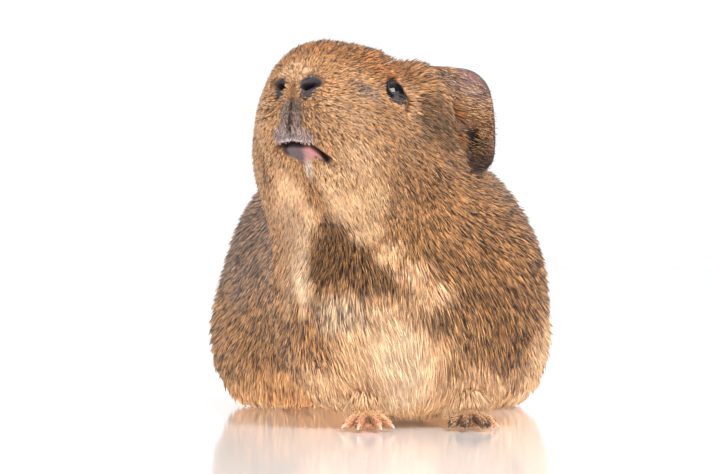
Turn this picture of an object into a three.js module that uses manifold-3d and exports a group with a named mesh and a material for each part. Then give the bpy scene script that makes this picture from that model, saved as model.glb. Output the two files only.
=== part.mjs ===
// A smooth-haired guinea pig, sitting with all four feet down and its head lifted and turned to
// its right. Every solid is given out to the tips of the coat.
//
// Millimetres, +Z up, +Y from nose to rump, +X the animal's left. The body is worked out with
// X = 0 and Y = 0 midway between the forefeet and Z = 0 on the floor, and the last lines shift it
// so that the origin lies under the middle of its bounding box.
//
// The whole animal is one smooth blend of named lumps, the way a modeller builds up clay. Its
// skin is found by rays that fan out from stations along the spine, so that any point of it has
// two coordinates: s, from 0 at the nose to 1 at the rump, and v, once round the body. Head, neck
// and torso are three lengths of that surface, closed by flat faces a thin gap apart.

import * as THREE from 'three';
import { mergeVertices } from 'three/addons/utils/BufferGeometryUtils.js';
import loadManifold from 'manifold-3d';

const manifold = await loadManifold();
manifold.setup();

// ---------------------------------------------------------------- driving dimensions

const GAP = 0.3; // between neighbouring nodes
const BELLY_CLEARANCE = 2.0; // coat of the belly above the floor

const NOSE = vec(-45, -25, 118); // tip of the nose
const HEAD_YAW = 29; // head turned to the animal's right, degrees
const HEAD_PITCH = 20; // muzzle lifted, degrees

const HEAD_BLEND = 4;
const BODY_BLEND = 6;
const JOIN_BLEND = 5;

// Lumps of the head: centre [behind the nose, to the left, up] and radii in the head's own axes,
// with the nose end dropped by `tilt` degrees. A lump off the middle line has a twin.
const HEAD_LUMPS = {
  cranium: { at: [46, 0, 7.5], size: [27, 22, 23.5], tilt: 0 },
  bridge: { at: [22, 0, 7.2], size: [20, 15.8, 16.8], tilt: 15 },
  brow: { at: [36, 11, 15], size: [13.5, 7.7, 9.2], tilt: 0 },
  earRoot: { at: [57, 21, 19], size: [15, 10.5, 13], tilt: 0 },
  muzzle: { at: [14, 0, -2], size: [13, 12.8, 15], tilt: 0 },
  pad: { at: [13, 6.5, -8], size: [11.5, 8, 9.5], tilt: 0 },
  cheek: { at: [36, 11.3, -5.5], size: [21, 14.2, 20], tilt: 0 },
  jowl: { at: [39, 10, -18], size: [21, 11, 15], tilt: 0 },
  jaw: { at: [22, 0, -19], size: [14, 8, 8], tilt: -10 },
  throat: { at: [48, 0, -14], size: [22, 17, 18], tilt: 0 },
};

// Lumps of the body in X, Y, Z. The paired ones have a twin across X = 0.
const BODY_LUMPS = {
  belly: { at: [-0.5, 92, 52], size: [60, 62, 50.5] },
  rump: { at: [-4, 132, 46], size: [54, 50, 46] },
  loin: { at: [-4, 84, 66], size: [46, 60, 38] },
  shoulder: { at: [-1, 42, 53], size: [44, 42, 46] },
  withers: { at: [-7, 50, 80], size: [31, 40, 34] },
  chest: { at: [0, 12, 45], size: [32, 25, 36] },
  brisket: { at: [0, 40, 27], size: [32, 36, 22] },
  neck: { at: [-14, 28, 88], size: [32, 30, 30] },
};
const PAIRED_LUMPS = {
  haunch: { at: [39.2, 112, 27], size: [27.5, 42, 32] },
  forearm: { at: [29, 15, 38], size: [17, 22, 29] },
};

// Muscles that run from the head down to each shoulder, as tapered rods.
const NECK_RODS = {
  left: { from: [-8, 12, 84], to: [20, 20, 56], radii: [17, 22] },
  right: { from: [-34, 12, 88], to: [-27, 16, 58], radii: [14, 18] },
};

// Stations of the spine: s, centre, direction of the nose there, and how far the rays lean
// forward out of the cross plane (90 straight ahead at the nose, -90 straight back at the rump).
const STATIONS = [
  { s: 0.0, at: onHeadAxis(22, -2), yaw: HEAD_YAW, pitch: HEAD_PITCH, lean: 90 },
  { s: 0.11, at: onHeadAxis(24, -2), yaw: HEAD_YAW, pitch: HEAD_PITCH, lean: 35 },
  { s: 0.2, at: onHeadAxis(34, -1), yaw: HEAD_YAW, pitch: HEAD_PITCH, lean: 0 },
  { s: 0.27, at: onHeadAxis(47, -1), yaw: HEAD_YAW, pitch: HEAD_PITCH + 15, lean: 0 },
  { s: 0.34, at: onHeadAxis(58, -8), yaw: HEAD_YAW - 2, pitch: HEAD_PITCH + 30, lean: 0 },
  { s: 0.41, at: onHeadAxis(72, -18), yaw: HEAD_YAW - 10, pitch: HEAD_PITCH + 35, lean: 0 },
  { s: 0.53, at: vec(-6, 44, 66), yaw: 12, pitch: 44, lean: 0 },
  { s: 0.62, at: vec(-4, 66, 56), yaw: 5, pitch: 20, lean: 0 },
  { s: 0.7, at: vec(-3, 88, 52), yaw: 1, pitch: 6, lean: 0 },
  { s: 0.77, at: vec(-3, 108, 50), yaw: 0, pitch: 0, lean: 0 },
  { s: 0.88, at: vec(-3, 128, 48), yaw: 0, pitch: 0, lean: -40 },
  { s: 1.0, at: vec(-3, 135, 47), yaw: 0, pitch: 0, lean: -90 },
];
const HEAD_END = 0.34; // s where the head meets the neck
const NECK_END = 0.41; // s where the neck meets the torso

const AROUND = 38; // points round the body
const HEAD_ROWS = 24;
const NECK_ROWS = 7;
const TORSO_ROWS = 26;

// Head features, in the head's axes [behind the nose, left, up]. The eyes look a little upward.
const EYE = {
  at: [29.3, 22.5, 9.2], radius: 5.6, proud: 2.6, opening: [4.5, 4.2], lid: 0.8, slant: 15, lift: 0.3,
};
const NOSTRIL = { at: [-2, 4.3, 0], radius: 1.9, tailTo: [-0.6, 7.4, 1.8], tailRadius: 1.0 };
const PHILTRUM = { from: [-2.7, 0, -4], to: [2.3, 0, -18.5], radius: 0.8 };
const MOUTH = {
  middle: [2.8, 0, -18.8], bend: [4.8, 4.6, -19.3], corner: [10.5, 9.6, -21.2], gape: 0.6, depth: 3, lip: 1.0,
};

// The ear is a thin petal: an outline in its own plane [outward, up], cupped forward.
const EAR = {
  at: [61, 27, 17],
  outward: [0.42, 0.9, -0.08],
  outline: [
    [-9, 14.5], [3, 17.8], [10, 17.8], [15.5, 14.2], [18.6, 8.5], [21, 1],
    [23, -8.5], [23, -15.5], [18, -21], [7, -20.5], [-7, -11], [-11, 2],
  ],
  middle: [7.5, -1.5],
  cup: 5.5,
  wall: 1.7,
};

// Each forefoot has four toes and each hind foot three; angles fan outward from straight ahead.
const FOREFOOT = { x: 18, y: 3, palm: [6.8, 8, 4.8], height: 4.4 };
const WRIST = { at: [18, 6, 10], size: [8.2, 8.5, 10] };
const FORE_TOES = { angles: [-36, -12, 16, 44], reach: [12, 14.5, 14.5, 11.2], radius: 2.3 };
const HINDFOOT = { x: 34, heel: 132, ball: 104, radius: 6, height: 4.6 };
const HIND_TOES = { angles: [-13, 3, 20], reach: [14, 17, 13.5], radius: 2.8 };
const CLAW = { length: 5, radius: 1.05, drop: 1.6 };
const HIND_CLAW = { length: 6, radius: 1.25, drop: 1.8 };

// Regions of the coat that belong to each leg, as ellipsoids.
const FORELEG_REGIONS = [
  { at: [31, 10, 26], size: [15.5, 22, 34] },
  { at: [18, 2, 6], size: [13.5, 17, 15] },
];
const HINDLEG_REGIONS = [{ at: [42, 108, 24], size: [25, 42, 36] }];

const COLOURS = {
  coat: '#a9763f',
  darkCoat: '#7a5a38',
  cream: '#d9b184',
  ear: '#8d6a62',
  eye: '#140d0b',
  paleClaw: '#e2b79c',
  darkClaw: '#2b2320',
};

// ---------------------------------------------------------------- small helpers

function vec(x, y, z) {
  return new THREE.Vector3(x, y, z);
}

function radians(degrees) {
  return THREE.MathUtils.degToRad(degrees);
}

function mix(a, b, share) {
  return a + (b - a) * share;
}

// Forward, left and up for a body turned by yaw and lifted by pitch.
function axesAt(yaw, pitch) {
  const turn = radians(yaw);
  const lift = radians(pitch);
  const flat = Math.cos(lift);
  const forward = vec(-Math.sin(turn) * flat, -Math.cos(turn) * flat, Math.sin(lift));
  const left = vec(Math.cos(turn), -Math.sin(turn), 0);
  const up = forward.clone().cross(left);
  return { forward, left, up };
}

// A point given in the head's axes: behind the nose, to the left, up.
function onHead([behind, left, up]) {
  const axes = axesAt(HEAD_YAW, HEAD_PITCH);
  const point = NOSE.clone().addScaledVector(axes.forward, -behind);
  return point.addScaledVector(axes.left, left).addScaledVector(axes.up, up);
}

function onHeadAxis(behind, up) {
  return onHead([behind, 0, up]);
}

function mirrored([x, y, z]) {
  return [-x, y, z];
}

// ---------------------------------------------------------------- the blend of lumps

// Distance to an ellipsoid, near enough outside and inside it.
function ellipsoidDistance(x, y, z, [a, b, c]) {
  const unit = Math.hypot(x / a, y / b, z / c);
  const slope = Math.hypot(x / (a * a), y / (b * b), z / (c * c));
  return (unit * (unit - 1)) / (slope + 1e-9);
}

function rodDistance(point, { from, to, radii }) {
  const axis = new THREE.Line3(vec(...from), vec(...to));
  const share = axis.closestPointToPointParameter(point, true);
  return axis.at(share, vec(0, 0, 0)).distanceTo(point) - mix(radii[0], radii[1], share);
}

// Smooth union: the softest joining surface of several distances.
function blend(distances, softness) {
  const nearest = Math.min(...distances);
  const sum = distances.reduce((total, d) => total + Math.exp((nearest - d) / softness), 0);
  return nearest - softness * Math.log(sum);
}

const headAxes = axesAt(HEAD_YAW, HEAD_PITCH);
const headLumps = Object.values(HEAD_LUMPS).flatMap((lump) => {
  const [behind, left, up] = lump.at;
  return left === 0 ? [lump] : [lump, { ...lump, at: [behind, -left, up] }];
});
const bodyLumps = Object.values(BODY_LUMPS).concat(
  Object.values(PAIRED_LUMPS).flatMap((lump) => [lump, { ...lump, at: mirrored(lump.at) }]),
);

function headDistance(point) {
  const offset = point.clone().sub(NOSE);
  const behind = -offset.dot(headAxes.forward);
  const left = offset.dot(headAxes.left);
  const up = offset.dot(headAxes.up);
  const distances = headLumps.map(({ at, size, tilt }) => {
    const c = Math.cos(radians(tilt));
    const s = Math.sin(radians(tilt));
    const a = behind - at[0];
    const u = up - at[2];
    return ellipsoidDistance(a * c + u * s, left - at[1], u * c - a * s, size);
  });
  return blend(distances, HEAD_BLEND);
}

function bodyDistance(point) {
  const distances = bodyLumps.map(({ at, size }) =>
    ellipsoidDistance(point.x - at[0], point.y - at[1], point.z - at[2], size),
  );
  distances.push(...Object.values(NECK_RODS).map((rod) => rodDistance(point, rod)));
  return Math.max(blend(distances, BODY_BLEND), BELLY_CLEARANCE - point.z);
}

function wholeDistance(point) {
  return blend([headDistance(point), bodyDistance(point)], JOIN_BLEND);
}

// Outward direction of the coat near a point, and that point moved onto the surface.
function outwardAt(point) {
  const step = 0.5;
  const slope = (offset) =>
    wholeDistance(point.clone().add(offset)) - wholeDistance(point.clone().sub(offset));
  return vec(slope(vec(step, 0, 0)), slope(vec(0, step, 0)), slope(vec(0, 0, step))).normalize();
}

function onSurface(point) {
  const settled = point.clone();
  for (let pass = 0; pass < 6; pass += 1) {
    settled.addScaledVector(outwardAt(settled), -wholeDistance(settled));
  }
  return settled;
}

// ---------------------------------------------------------------- the spine

// Monotone cubic through the stations, so that nothing overshoots between them.
function monotoneCurve(knots, values) {
  const steps = knots.slice(1).map((knot, i) => knot - knots[i]);
  const rises = steps.map((step, i) => (values[i + 1] - values[i]) / step);
  const slopes = knots.map((_, i) => {
    if (i === 0) return rises[0];
    if (i === knots.length - 1) return rises[i - 1];
    if (rises[i - 1] * rises[i] <= 0) return 0;
    const w0 = 2 * steps[i] + steps[i - 1];
    const w1 = steps[i] + 2 * steps[i - 1];
    return (w0 + w1) / (w0 / rises[i - 1] + w1 / rises[i]);
  });
  return (x) => {
    const last = knots.length - 2;
    const i = Math.min(last, Math.max(0, knots.findIndex((knot) => knot > x) - 1));
    const k = x >= knots[last] ? last : i;
    const t = (x - knots[k]) / steps[k];
    const rise = values[k + 1] - values[k];
    const h = steps[k];
    const bend0 = h * slopes[k] - rise;
    const bend1 = rise - h * slopes[k + 1];
    return values[k] + t * rise + t * (1 - t) * (bend0 * (1 - t) + bend1 * t);
  };
}

const knots = STATIONS.map((station) => station.s);
const spineCurves = {
  x: monotoneCurve(knots, STATIONS.map((station) => station.at.x)),
  y: monotoneCurve(knots, STATIONS.map((station) => station.at.y)),
  z: monotoneCurve(knots, STATIONS.map((station) => station.at.z)),
  yaw: monotoneCurve(knots, STATIONS.map((station) => station.yaw)),
  pitch: monotoneCurve(knots, STATIONS.map((station) => station.pitch)),
  lean: monotoneCurve(knots, STATIONS.map((station) => station.lean)),
};

function spineAt(s) {
  const centre = vec(spineCurves.x(s), spineCurves.y(s), spineCurves.z(s));
  const axes = axesAt(spineCurves.yaw(s), spineCurves.pitch(s));
  return { centre, ...axes, lean: radians(spineCurves.lean(s)) };
}

// The coat's surface at (s, v), grown outward by `grow`: a ray from the spine walks out until
// the blend of lumps ends.
function coatPoint(s, v, grow = 0) {
  const { centre, forward, left, up, lean } = spineAt(s);
  const ray = left.multiplyScalar(Math.cos(v) * Math.cos(lean));
  ray.addScaledVector(up, Math.sin(v) * Math.cos(lean)).addScaledVector(forward, Math.sin(lean));
  let reach = 2;
  for (let pass = 0; pass < 44; pass += 1) {
    const gap = wholeDistance(centre.clone().addScaledVector(ray, reach)) - grow;
    reach -= 0.8 * gap;
  }
  return centre.addScaledVector(ray, reach);
}

// ---------------------------------------------------------------- closed surfaces

// A sphere's grid carried onto a shape: place(along, round) gives each point, with `along` from
// 0 to 1 between the poles and `round` the angle.
function wrapped(around, rows, place) {
  const geometry = new THREE.SphereGeometry(1, around, rows);
  const { position, uv } = geometry.attributes;
  for (let i = 0; i < position.count; i += 1) {
    const along = 1 - uv.getY(i);
    const point = place(along, 2 * Math.PI * uv.getX(i));
    position.setXYZ(i, point.x, point.y, point.z);
  }
  return geometry;
}

// A length of the body between two stations, with a flat face at each cut.
function bodyLength(start, end, rows, grow = 0) {
  const openFront = start === 0;
  const openBack = end === 1;
  const first = openFront ? 0 : 1;
  const last = openBack ? rows : rows - 1;
  return wrapped(AROUND, rows, (along, v) => {
    const row = Math.round(along * rows);
    const share = THREE.MathUtils.clamp((row - first) / (last - first), 0, 1);
    const s = mix(start, end, share);
    const atCut = (row <= first && !openFront) || (row >= last && !openBack);
    const pole = row < first || row > last;
    const point = pole ? spineAt(s).centre : coatPoint(s, v, grow);
    if (atCut) {
      const side = row <= first ? -1 : 1;
      point.addScaledVector(spineAt(s).forward, side * (GAP / 2 - grow));
    }
    return point;
  });
}

// A tapered rod with round ends along a curve; width and height may differ, with `up` as the
// height's direction.
function rod(curve, { width, height = width, up = vec(0, 0, 1), around = 8, rows = 7 }) {
  const taper = (t, size) => (Array.isArray(size) ? mix(size[0], size[1], t) : size);
  return wrapped(around, rows, (along, v) => {
    const bow = Math.sin(Math.PI * along);
    const t = (1 - Math.cos(Math.PI * along)) / 2;
    const round = Math.min(1, bow * 1.6);
    const tangent = curve.getTangentAt(t);
    const across = up.clone().cross(tangent).normalize();
    const over = tangent.clone().cross(across);
    const point = curve.getPointAt(t);
    point.addScaledVector(across, -Math.cos(v) * round * taper(t, width));
    return point.addScaledVector(over, Math.sin(v) * round * taper(t, height));
  });
}

function ellipsoid({ at, size }, grow = 0, around = 24, rows = 16) {
  const geometry = new THREE.SphereGeometry(1, around, rows);
  geometry.scale(size[0] + grow, size[1] + grow, size[2] + grow);
  geometry.translate(...at);
  return geometry;
}

// ---------------------------------------------------------------- joins and cuts

function solid(geometry) {
  const bare = geometry.clone();
  bare.deleteAttribute('normal');
  bare.deleteAttribute('uv');
  const merged = mergeVertices(bare, 1e-4);
  const mesh = new manifold.Mesh({
    numProp: 3,
    vertProperties: new Float32Array(merged.attributes.position.array),
    triVerts: new Uint32Array(merged.index.array),
  });
  mesh.merge();
  return new manifold.Manifold(mesh);
}

function joined(first, ...others) {
  return others.reduce((total, other) => total.add(other), first);
}

function cutBy(body, ...tools) {
  return tools.reduce((rest, tool) => rest.subtract(tool), body);
}

function largest(body) {
  const pieces = body.decompose();
  return pieces.reduce((best, piece) => (piece.volume() > best.volume() ? piece : best));
}

function geometryOf(body) {
  const mesh = largest(body).getMesh();
  const geometry = new THREE.BufferGeometry();
  geometry.setAttribute('position', new THREE.BufferAttribute(mesh.vertProperties, 3));
  geometry.setIndex(new THREE.BufferAttribute(mesh.triVerts, 1));
  geometry.computeVertexNormals();
  return geometry;
}

// Everything above the floor.
const aboveFloor = solid(new THREE.BoxGeometry(400, 400, 200).translate(0, 0, 100));

// ---------------------------------------------------------------- head features

function sided([behind, left, up], side) {
  return [behind, left * side, up];
}

function eyePlace(side) {
  const surface = onSurface(onHead(sided(EYE.at, side)));
  const out = outwardAt(surface);
  const centre = surface.clone().addScaledVector(out, EYE.proud - EYE.radius);
  return { centre, out: out.clone().add(vec(0, 0, EYE.lift)).normalize() };
}

function eyeBall(side, grow = 0) {
  const { centre } = eyePlace(side);
  const geometry = new THREE.SphereGeometry(EYE.radius + grow, 16, 10);
  return geometry.translate(centre.x, centre.y, centre.z);
}

// Both lids: a shell that lies on the eyeball, and the almond opening cut through it.
function lidShell(side) {
  return eyeBall(side, GAP + EYE.lid);
}

function lidOpening(side) {
  const { centre, out } = eyePlace(side);
  const reach = EYE.radius * 1.4;
  const opening = new THREE.SphereGeometry(1, 16, 10);
  opening.scale(EYE.opening[0], EYE.opening[1], reach);
  const long = headAxes.forward.clone().projectOnPlane(out).normalize();
  long.applyAxisAngle(out, radians(EYE.slant) * side);
  const across = out.clone().cross(long);
  const place = centre.clone().addScaledVector(out, reach);
  opening.applyMatrix4(new THREE.Matrix4().makeBasis(long, across, out).setPosition(place));
  return opening;
}

// Comma-shaped nostril: a round pit with a tail that runs back and out.
function nostril(side) {
  const pit = onSurface(onHead(sided(NOSTRIL.at, side)));
  const tail = onSurface(onHead(sided(NOSTRIL.tailTo, side)));
  const inward = outwardAt(pit).multiplyScalar(-2.4);
  const curve = new THREE.QuadraticBezierCurve3(pit.clone().add(inward), pit, tail);
  return rod(curve, { width: [NOSTRIL.radius, NOSTRIL.tailRadius], up: headAxes.up, rows: 10 });
}

function philtrum() {
  const points = [0, 0.33, 0.67, 1].map((share) =>
    onSurface(onHead(PHILTRUM.from.map((value, i) => mix(value, PHILTRUM.to[i], share)))),
  );
  return rod(new THREE.CatmullRomCurve3(points), { width: PHILTRUM.radius, up: headAxes.left });
}

// The line of the mouth on the surface, from the right corner over the middle to the left one,
// `drop` lower.
function mouthLine(drop) {
  const half = [MOUTH.corner, MOUTH.bend];
  const places = [
    ...half.map((place) => sided(place, -1)),
    MOUTH.middle,
    ...half.toReversed(),
  ];
  const lowered = places.map(([behind, left, up]) => onHead([behind, left, up - drop]));
  return new THREE.CatmullRomCurve3(lowered.map(onSurface));
}

function mouthSlit() {
  return rod(mouthLine(0), {
    width: MOUTH.depth, height: MOUTH.gape, up: headAxes.up, around: 8, rows: 12,
  });
}

function lip(drop) {
  return rod(mouthLine(drop), { width: MOUTH.lip, up: headAxes.up, around: 7, rows: 12 });
}

function headSolid() {
  const lipGap = MOUTH.gape + MOUTH.lip * 0.7;
  let head = solid(bodyLength(0, HEAD_END, HEAD_ROWS));
  head = joined(
    head,
    solid(lip(-lipGap)),
    solid(lip(lipGap)),
    solid(lidShell(1)),
    solid(lidShell(-1)),
  );
  return cutBy(
    head,
    solid(mouthSlit()),
    solid(philtrum()),
    solid(nostril(1)),
    solid(nostril(-1)),
    solid(lidOpening(1)),
    solid(lidOpening(-1)),
    solid(eyeBall(1, GAP)),
    solid(eyeBall(-1, GAP)),
  );
}

// ---------------------------------------------------------------- ears

// The petal as a flattened sphere: front face from its middle to the rim, then the back face.
function earPetal(side) {
  const rim = new THREE.CatmullRomCurve3(EAR.outline.map(([x, y]) => vec(x, y, 0)), true);
  const middle = vec(EAR.middle[0], EAR.middle[1], 0);
  const [back, out, up] = EAR.outward;
  const outward = vec(0, 0, 0).addScaledVector(headAxes.forward, -back);
  outward.addScaledVector(headAxes.left, out * side).addScaledVector(headAxes.up, up).normalize();
  const upward = headAxes.up.clone().projectOnPlane(outward).normalize();
  const facing = outward.clone().cross(upward).multiplyScalar(side);
  const root = onHead(sided(EAR.at, side));
  return wrapped(26, 12, (along, round) => {
    const turn = side > 0 ? 2 * Math.PI - round : round;
    const reach = Math.sin(Math.PI * along);
    const flat = middle.clone().lerp(rim.getPoint(turn / (2 * Math.PI)), reach);
    const depth = -EAR.cup * (1 - reach * reach) + (Math.cos(Math.PI * along) * EAR.wall) / 2;
    const point = root.clone().addScaledVector(outward, flat.x);
    return point.addScaledVector(upward, flat.y).addScaledVector(facing, depth);
  });
}

// ---------------------------------------------------------------- legs and claws

// Toes fan out from the palm: each is a bent rod that comes down to the floor at its tip.
function toeCurve(root, angle, reach, side, lift) {
  const way = vec(Math.sin(radians(angle)) * side, -Math.cos(radians(angle)), 0);
  const knuckle = root.clone().addScaledVector(way, reach * 0.55).setZ(lift + 0.8);
  const tip = root.clone().addScaledVector(way, reach).setZ(lift - 2.2);
  return new THREE.QuadraticBezierCurve3(root.clone().setZ(lift), knuckle, tip);
}

function clawRod(toe, { length, radius, drop }, grow = 0) {
  const way = toe.getTangentAt(1).setZ(0).normalize();
  const root = toe.getPointAt(1).addScaledVector(way, -1 - grow).setZ(toe.getPointAt(1).z + 0.5);
  const knee = root.clone().addScaledVector(way, length * 0.6).setZ(root.z + 0.2);
  const tip = root.clone().addScaledVector(way, length).setZ(Math.max(0.4, root.z - drop));
  const curve = new THREE.QuadraticBezierCurve3(root, knee, tip);
  return rod(curve, { width: [radius + grow, 0.3 + grow], around: 6, rows: 5 });
}

function foreToes(side) {
  const root = vec(FOREFOOT.x * side, FOREFOOT.y, 0);
  return FORE_TOES.angles.map((angle, i) =>
    toeCurve(root, angle, FORE_TOES.reach[i], side, FOREFOOT.height),
  );
}

function hindToes(side) {
  const root = vec(HINDFOOT.x * side, HINDFOOT.ball, 0);
  return HIND_TOES.angles.map((angle, i) =>
    toeCurve(root, angle, HIND_TOES.reach[i], side, HINDFOOT.height),
  );
}

function forePaw(side) {
  const palm = { at: [FOREFOOT.x * side, FOREFOOT.y, FOREFOOT.height], size: FOREFOOT.palm };
  const toes = foreToes(side).map((curve) => solid(rod(curve, { width: FORE_TOES.radius })));
  const wrist = { at: side > 0 ? WRIST.at : mirrored(WRIST.at), size: WRIST.size };
  return joined(solid(ellipsoid(palm, 0, 14, 8)), solid(ellipsoid(wrist, 0, 14, 8)), ...toes);
}

function hindPaw(side) {
  const { x, heel, ball, radius, height } = HINDFOOT;
  const sole = new THREE.LineCurve3(vec(x * side, heel, height), vec(x * side, ball, height));
  const toes = hindToes(side).map((curve) => solid(rod(curve, { width: HIND_TOES.radius })));
  const foot = rod(sole, { width: radius, height: height + 0.6, around: 12 });
  return joined(solid(foot), ...toes);
}

function regionsOf(regions, side, grow = 0) {
  const solids = regions.map(({ at, size }) =>
    solid(ellipsoid({ at: side > 0 ? at : mirrored(at), size }, grow, 18, 12)),
  );
  return joined(...solids);
}

// ---------------------------------------------------------------- the animal

const animal = new THREE.Group();

function addNode(name, body, colour, roughness) {
  const material = new THREE.MeshStandardMaterial({ color: colour, roughness, metalness: 0 });
  const mesh = new THREE.Mesh(geometryOf(body), material);
  mesh.name = name;
  animal.add(mesh);
}

function addHead() {
  addNode('head', headSolid(), COLOURS.coat, 0.8);
  addNode('neck', solid(bodyLength(HEAD_END, NECK_END, NECK_ROWS)), COLOURS.cream, 0.85);
}

function addEyesAndEars(sideName, side) {
  addNode(`eye_${sideName}`, solid(eyeBall(side)), COLOURS.eye, 0.08);
  const head = solid(bodyLength(0, HEAD_END, HEAD_ROWS, GAP));
  const neck = solid(bodyLength(HEAD_END, NECK_END, NECK_ROWS, GAP));
  addNode(`ear_${sideName}`, cutBy(solid(earPetal(side)), head, neck), COLOURS.ear, 0.7);
}

// A leg is the coat that lies in its regions and the paw below it, with sockets for the claws.
function addLeg(name, colour, coat, regions, paw, toes, claw) {
  const sockets = toes.map((toe) => solid(clawRod(toe, claw, GAP)));
  const leg = joined(coat.intersect(regions), paw).intersect(aboveFloor);
  addNode(name, cutBy(leg, ...sockets), colour, 0.85);
}

function addClaws(stem, toes, claw, colour) {
  toes.forEach((toe, i) => {
    addNode(`${stem}_${i + 1}`, solid(clawRod(toe, claw)), colour, 0.35);
  });
}

function build() {
  const coat = solid(bodyLength(NECK_END, 1, TORSO_ROWS));
  const sides = { left: 1, right: -1 };
  let torso = coat;
  addHead();
  for (const [name, side] of Object.entries(sides)) {
    const clawColour = side > 0 ? COLOURS.darkClaw : COLOURS.paleClaw;
    const fore = regionsOf(FORELEG_REGIONS, side);
    const hind = regionsOf(HINDLEG_REGIONS, side);
    addEyesAndEars(name, side);
    addLeg(`foreleg_${name}`, COLOURS.cream, coat, fore, forePaw(side), foreToes(side), CLAW);
    addLeg(`hind_leg_${name}`, COLOURS.darkCoat, coat, hind, hindPaw(side), hindToes(side), HIND_CLAW);
    addClaws(`claw_fore_${name}`, foreToes(side), CLAW, clawColour);
    addClaws(`claw_hind_${name}`, hindToes(side), HIND_CLAW, clawColour);
    torso = cutBy(
      torso,
      regionsOf(FORELEG_REGIONS, side, GAP),
      regionsOf(HINDLEG_REGIONS, side, GAP),
    );
  }
  addNode('torso', torso, COLOURS.darkCoat, 0.85);
}

build();

// Origin under the middle of the bounding box.
const box = new THREE.Box3().setFromObject(animal);
const middle = box.getCenter(vec(0, 0, 0));
animal.position.set(-middle.x, -middle.y, -box.min.z);
animal.updateMatrixWorld(true);

export default animal;
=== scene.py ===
"""A smooth-haired guinea pig: skin, eyes, claws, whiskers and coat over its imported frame.

The form is the one that the frame was built from: a smooth blend of named lumps, met by rays that
fan out from stations along the spine. Its surface has two coordinates, s from the nose (0) to the
rump (1) and v once round the body. The skin is that surface sunk by the depth of the coat, and
every tuft of hair starts on the skin and lies along the form with its tip near the coat's own
surface. Form sizes are in millimetres, in the frame's axes before its origin was moved under the
middle of the bounding box. +Y runs from nose to rump, +X to the animal's left, and Z is up.
"""

import bpy
import numpy as np
from bpy.props import FloatProperty, FloatVectorProperty, IntProperty, PointerProperty
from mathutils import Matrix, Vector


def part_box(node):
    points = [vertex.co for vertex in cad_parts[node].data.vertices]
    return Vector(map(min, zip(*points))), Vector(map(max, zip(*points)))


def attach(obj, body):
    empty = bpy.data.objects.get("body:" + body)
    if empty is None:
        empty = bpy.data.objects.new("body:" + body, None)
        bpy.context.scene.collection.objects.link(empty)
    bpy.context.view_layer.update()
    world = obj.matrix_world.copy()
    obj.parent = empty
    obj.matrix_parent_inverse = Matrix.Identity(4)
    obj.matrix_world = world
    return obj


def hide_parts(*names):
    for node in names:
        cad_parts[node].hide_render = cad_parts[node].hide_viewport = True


bl_info = {
    "name": "Guinea pig coat",
    "version": (1, 0, 0),
    "blender": (4, 5, 0),
    "location": "3D View > Sidebar > Guinea pig",
    "description": "Dresses the guinea pig's frame in skin, eyes, claws, whiskers and fur",
    "category": "Object",
}

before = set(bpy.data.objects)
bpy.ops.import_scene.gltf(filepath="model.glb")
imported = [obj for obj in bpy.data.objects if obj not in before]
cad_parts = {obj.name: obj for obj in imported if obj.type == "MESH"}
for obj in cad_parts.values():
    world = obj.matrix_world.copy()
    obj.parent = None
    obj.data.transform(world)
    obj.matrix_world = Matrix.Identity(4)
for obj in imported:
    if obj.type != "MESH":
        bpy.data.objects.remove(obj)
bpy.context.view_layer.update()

MM = 0.001
UP = np.array([0.0, 0.0, 1.0])
SIDES = {"left": 1, "right": -1}

# ---------------------------------------------------------------- the form, as in the frame

BELLY_CLEARANCE = 2.0
NOSE = np.array([-45.0, -25.0, 118.0])
HEAD_YAW = 29.0
HEAD_PITCH = 20.0
HEAD_BLEND = 4.0
BODY_BLEND = 6.0
JOIN_BLEND = 5.0

# Lumps of the head: centre [behind the nose, left, up], radii, and how far the nose end drops in
# degrees. A lump off the middle line has a twin.
HEAD_LUMPS = {
    "cranium": ((46, 0, 7.5), (27, 22, 23.5), 0),
    "bridge": ((22, 0, 7.2), (20, 15.8, 16.8), 15),
    "brow": ((36, 11, 15), (13.5, 7.7, 9.2), 0),
    "ear_root": ((57, 21, 19), (15, 10.5, 13), 0),
    "muzzle": ((14, 0, -2), (13, 12.8, 15), 0),
    "pad": ((13, 6.5, -8), (11.5, 8, 9.5), 0),
    "cheek": ((36, 11.3, -5.5), (21, 14.2, 20), 0),
    "jowl": ((39, 10, -18), (21, 11, 15), 0),
    "jaw": ((22, 0, -19), (14, 8, 8), -10),
    "throat": ((48, 0, -14), (22, 17, 18), 0),
}

# Lumps of the body in X, Y, Z, then those that have a twin across X = 0.
BODY_LUMPS = {
    "belly": ((-0.5, 92, 52), (60, 62, 50.5)),
    "rump": ((-4, 132, 46), (54, 50, 46)),
    "loin": ((-4, 84, 66), (46, 60, 38)),
    "shoulder": ((-1, 42, 53), (44, 42, 46)),
    "withers": ((-7, 50, 80), (31, 40, 34)),
    "chest": ((0, 12, 45), (32, 25, 36)),
    "brisket": ((0, 40, 27), (32, 36, 22)),
    "neck": ((-14, 28, 88), (32, 30, 30)),
}
PAIRED_LUMPS = {
    "haunch": ((39.2, 112, 27), (27.5, 42, 32)),
    "forearm": ((29, 15, 38), (17, 22, 29)),
}

# Muscles from the head down to each shoulder: two ends and their radii.
NECK_RODS = {
    "left": ((-8, 12, 84), (20, 20, 56), (17, 22)),
    "right": ((-34, 12, 88), (-27, 16, 58), (14, 18)),
}

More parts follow.
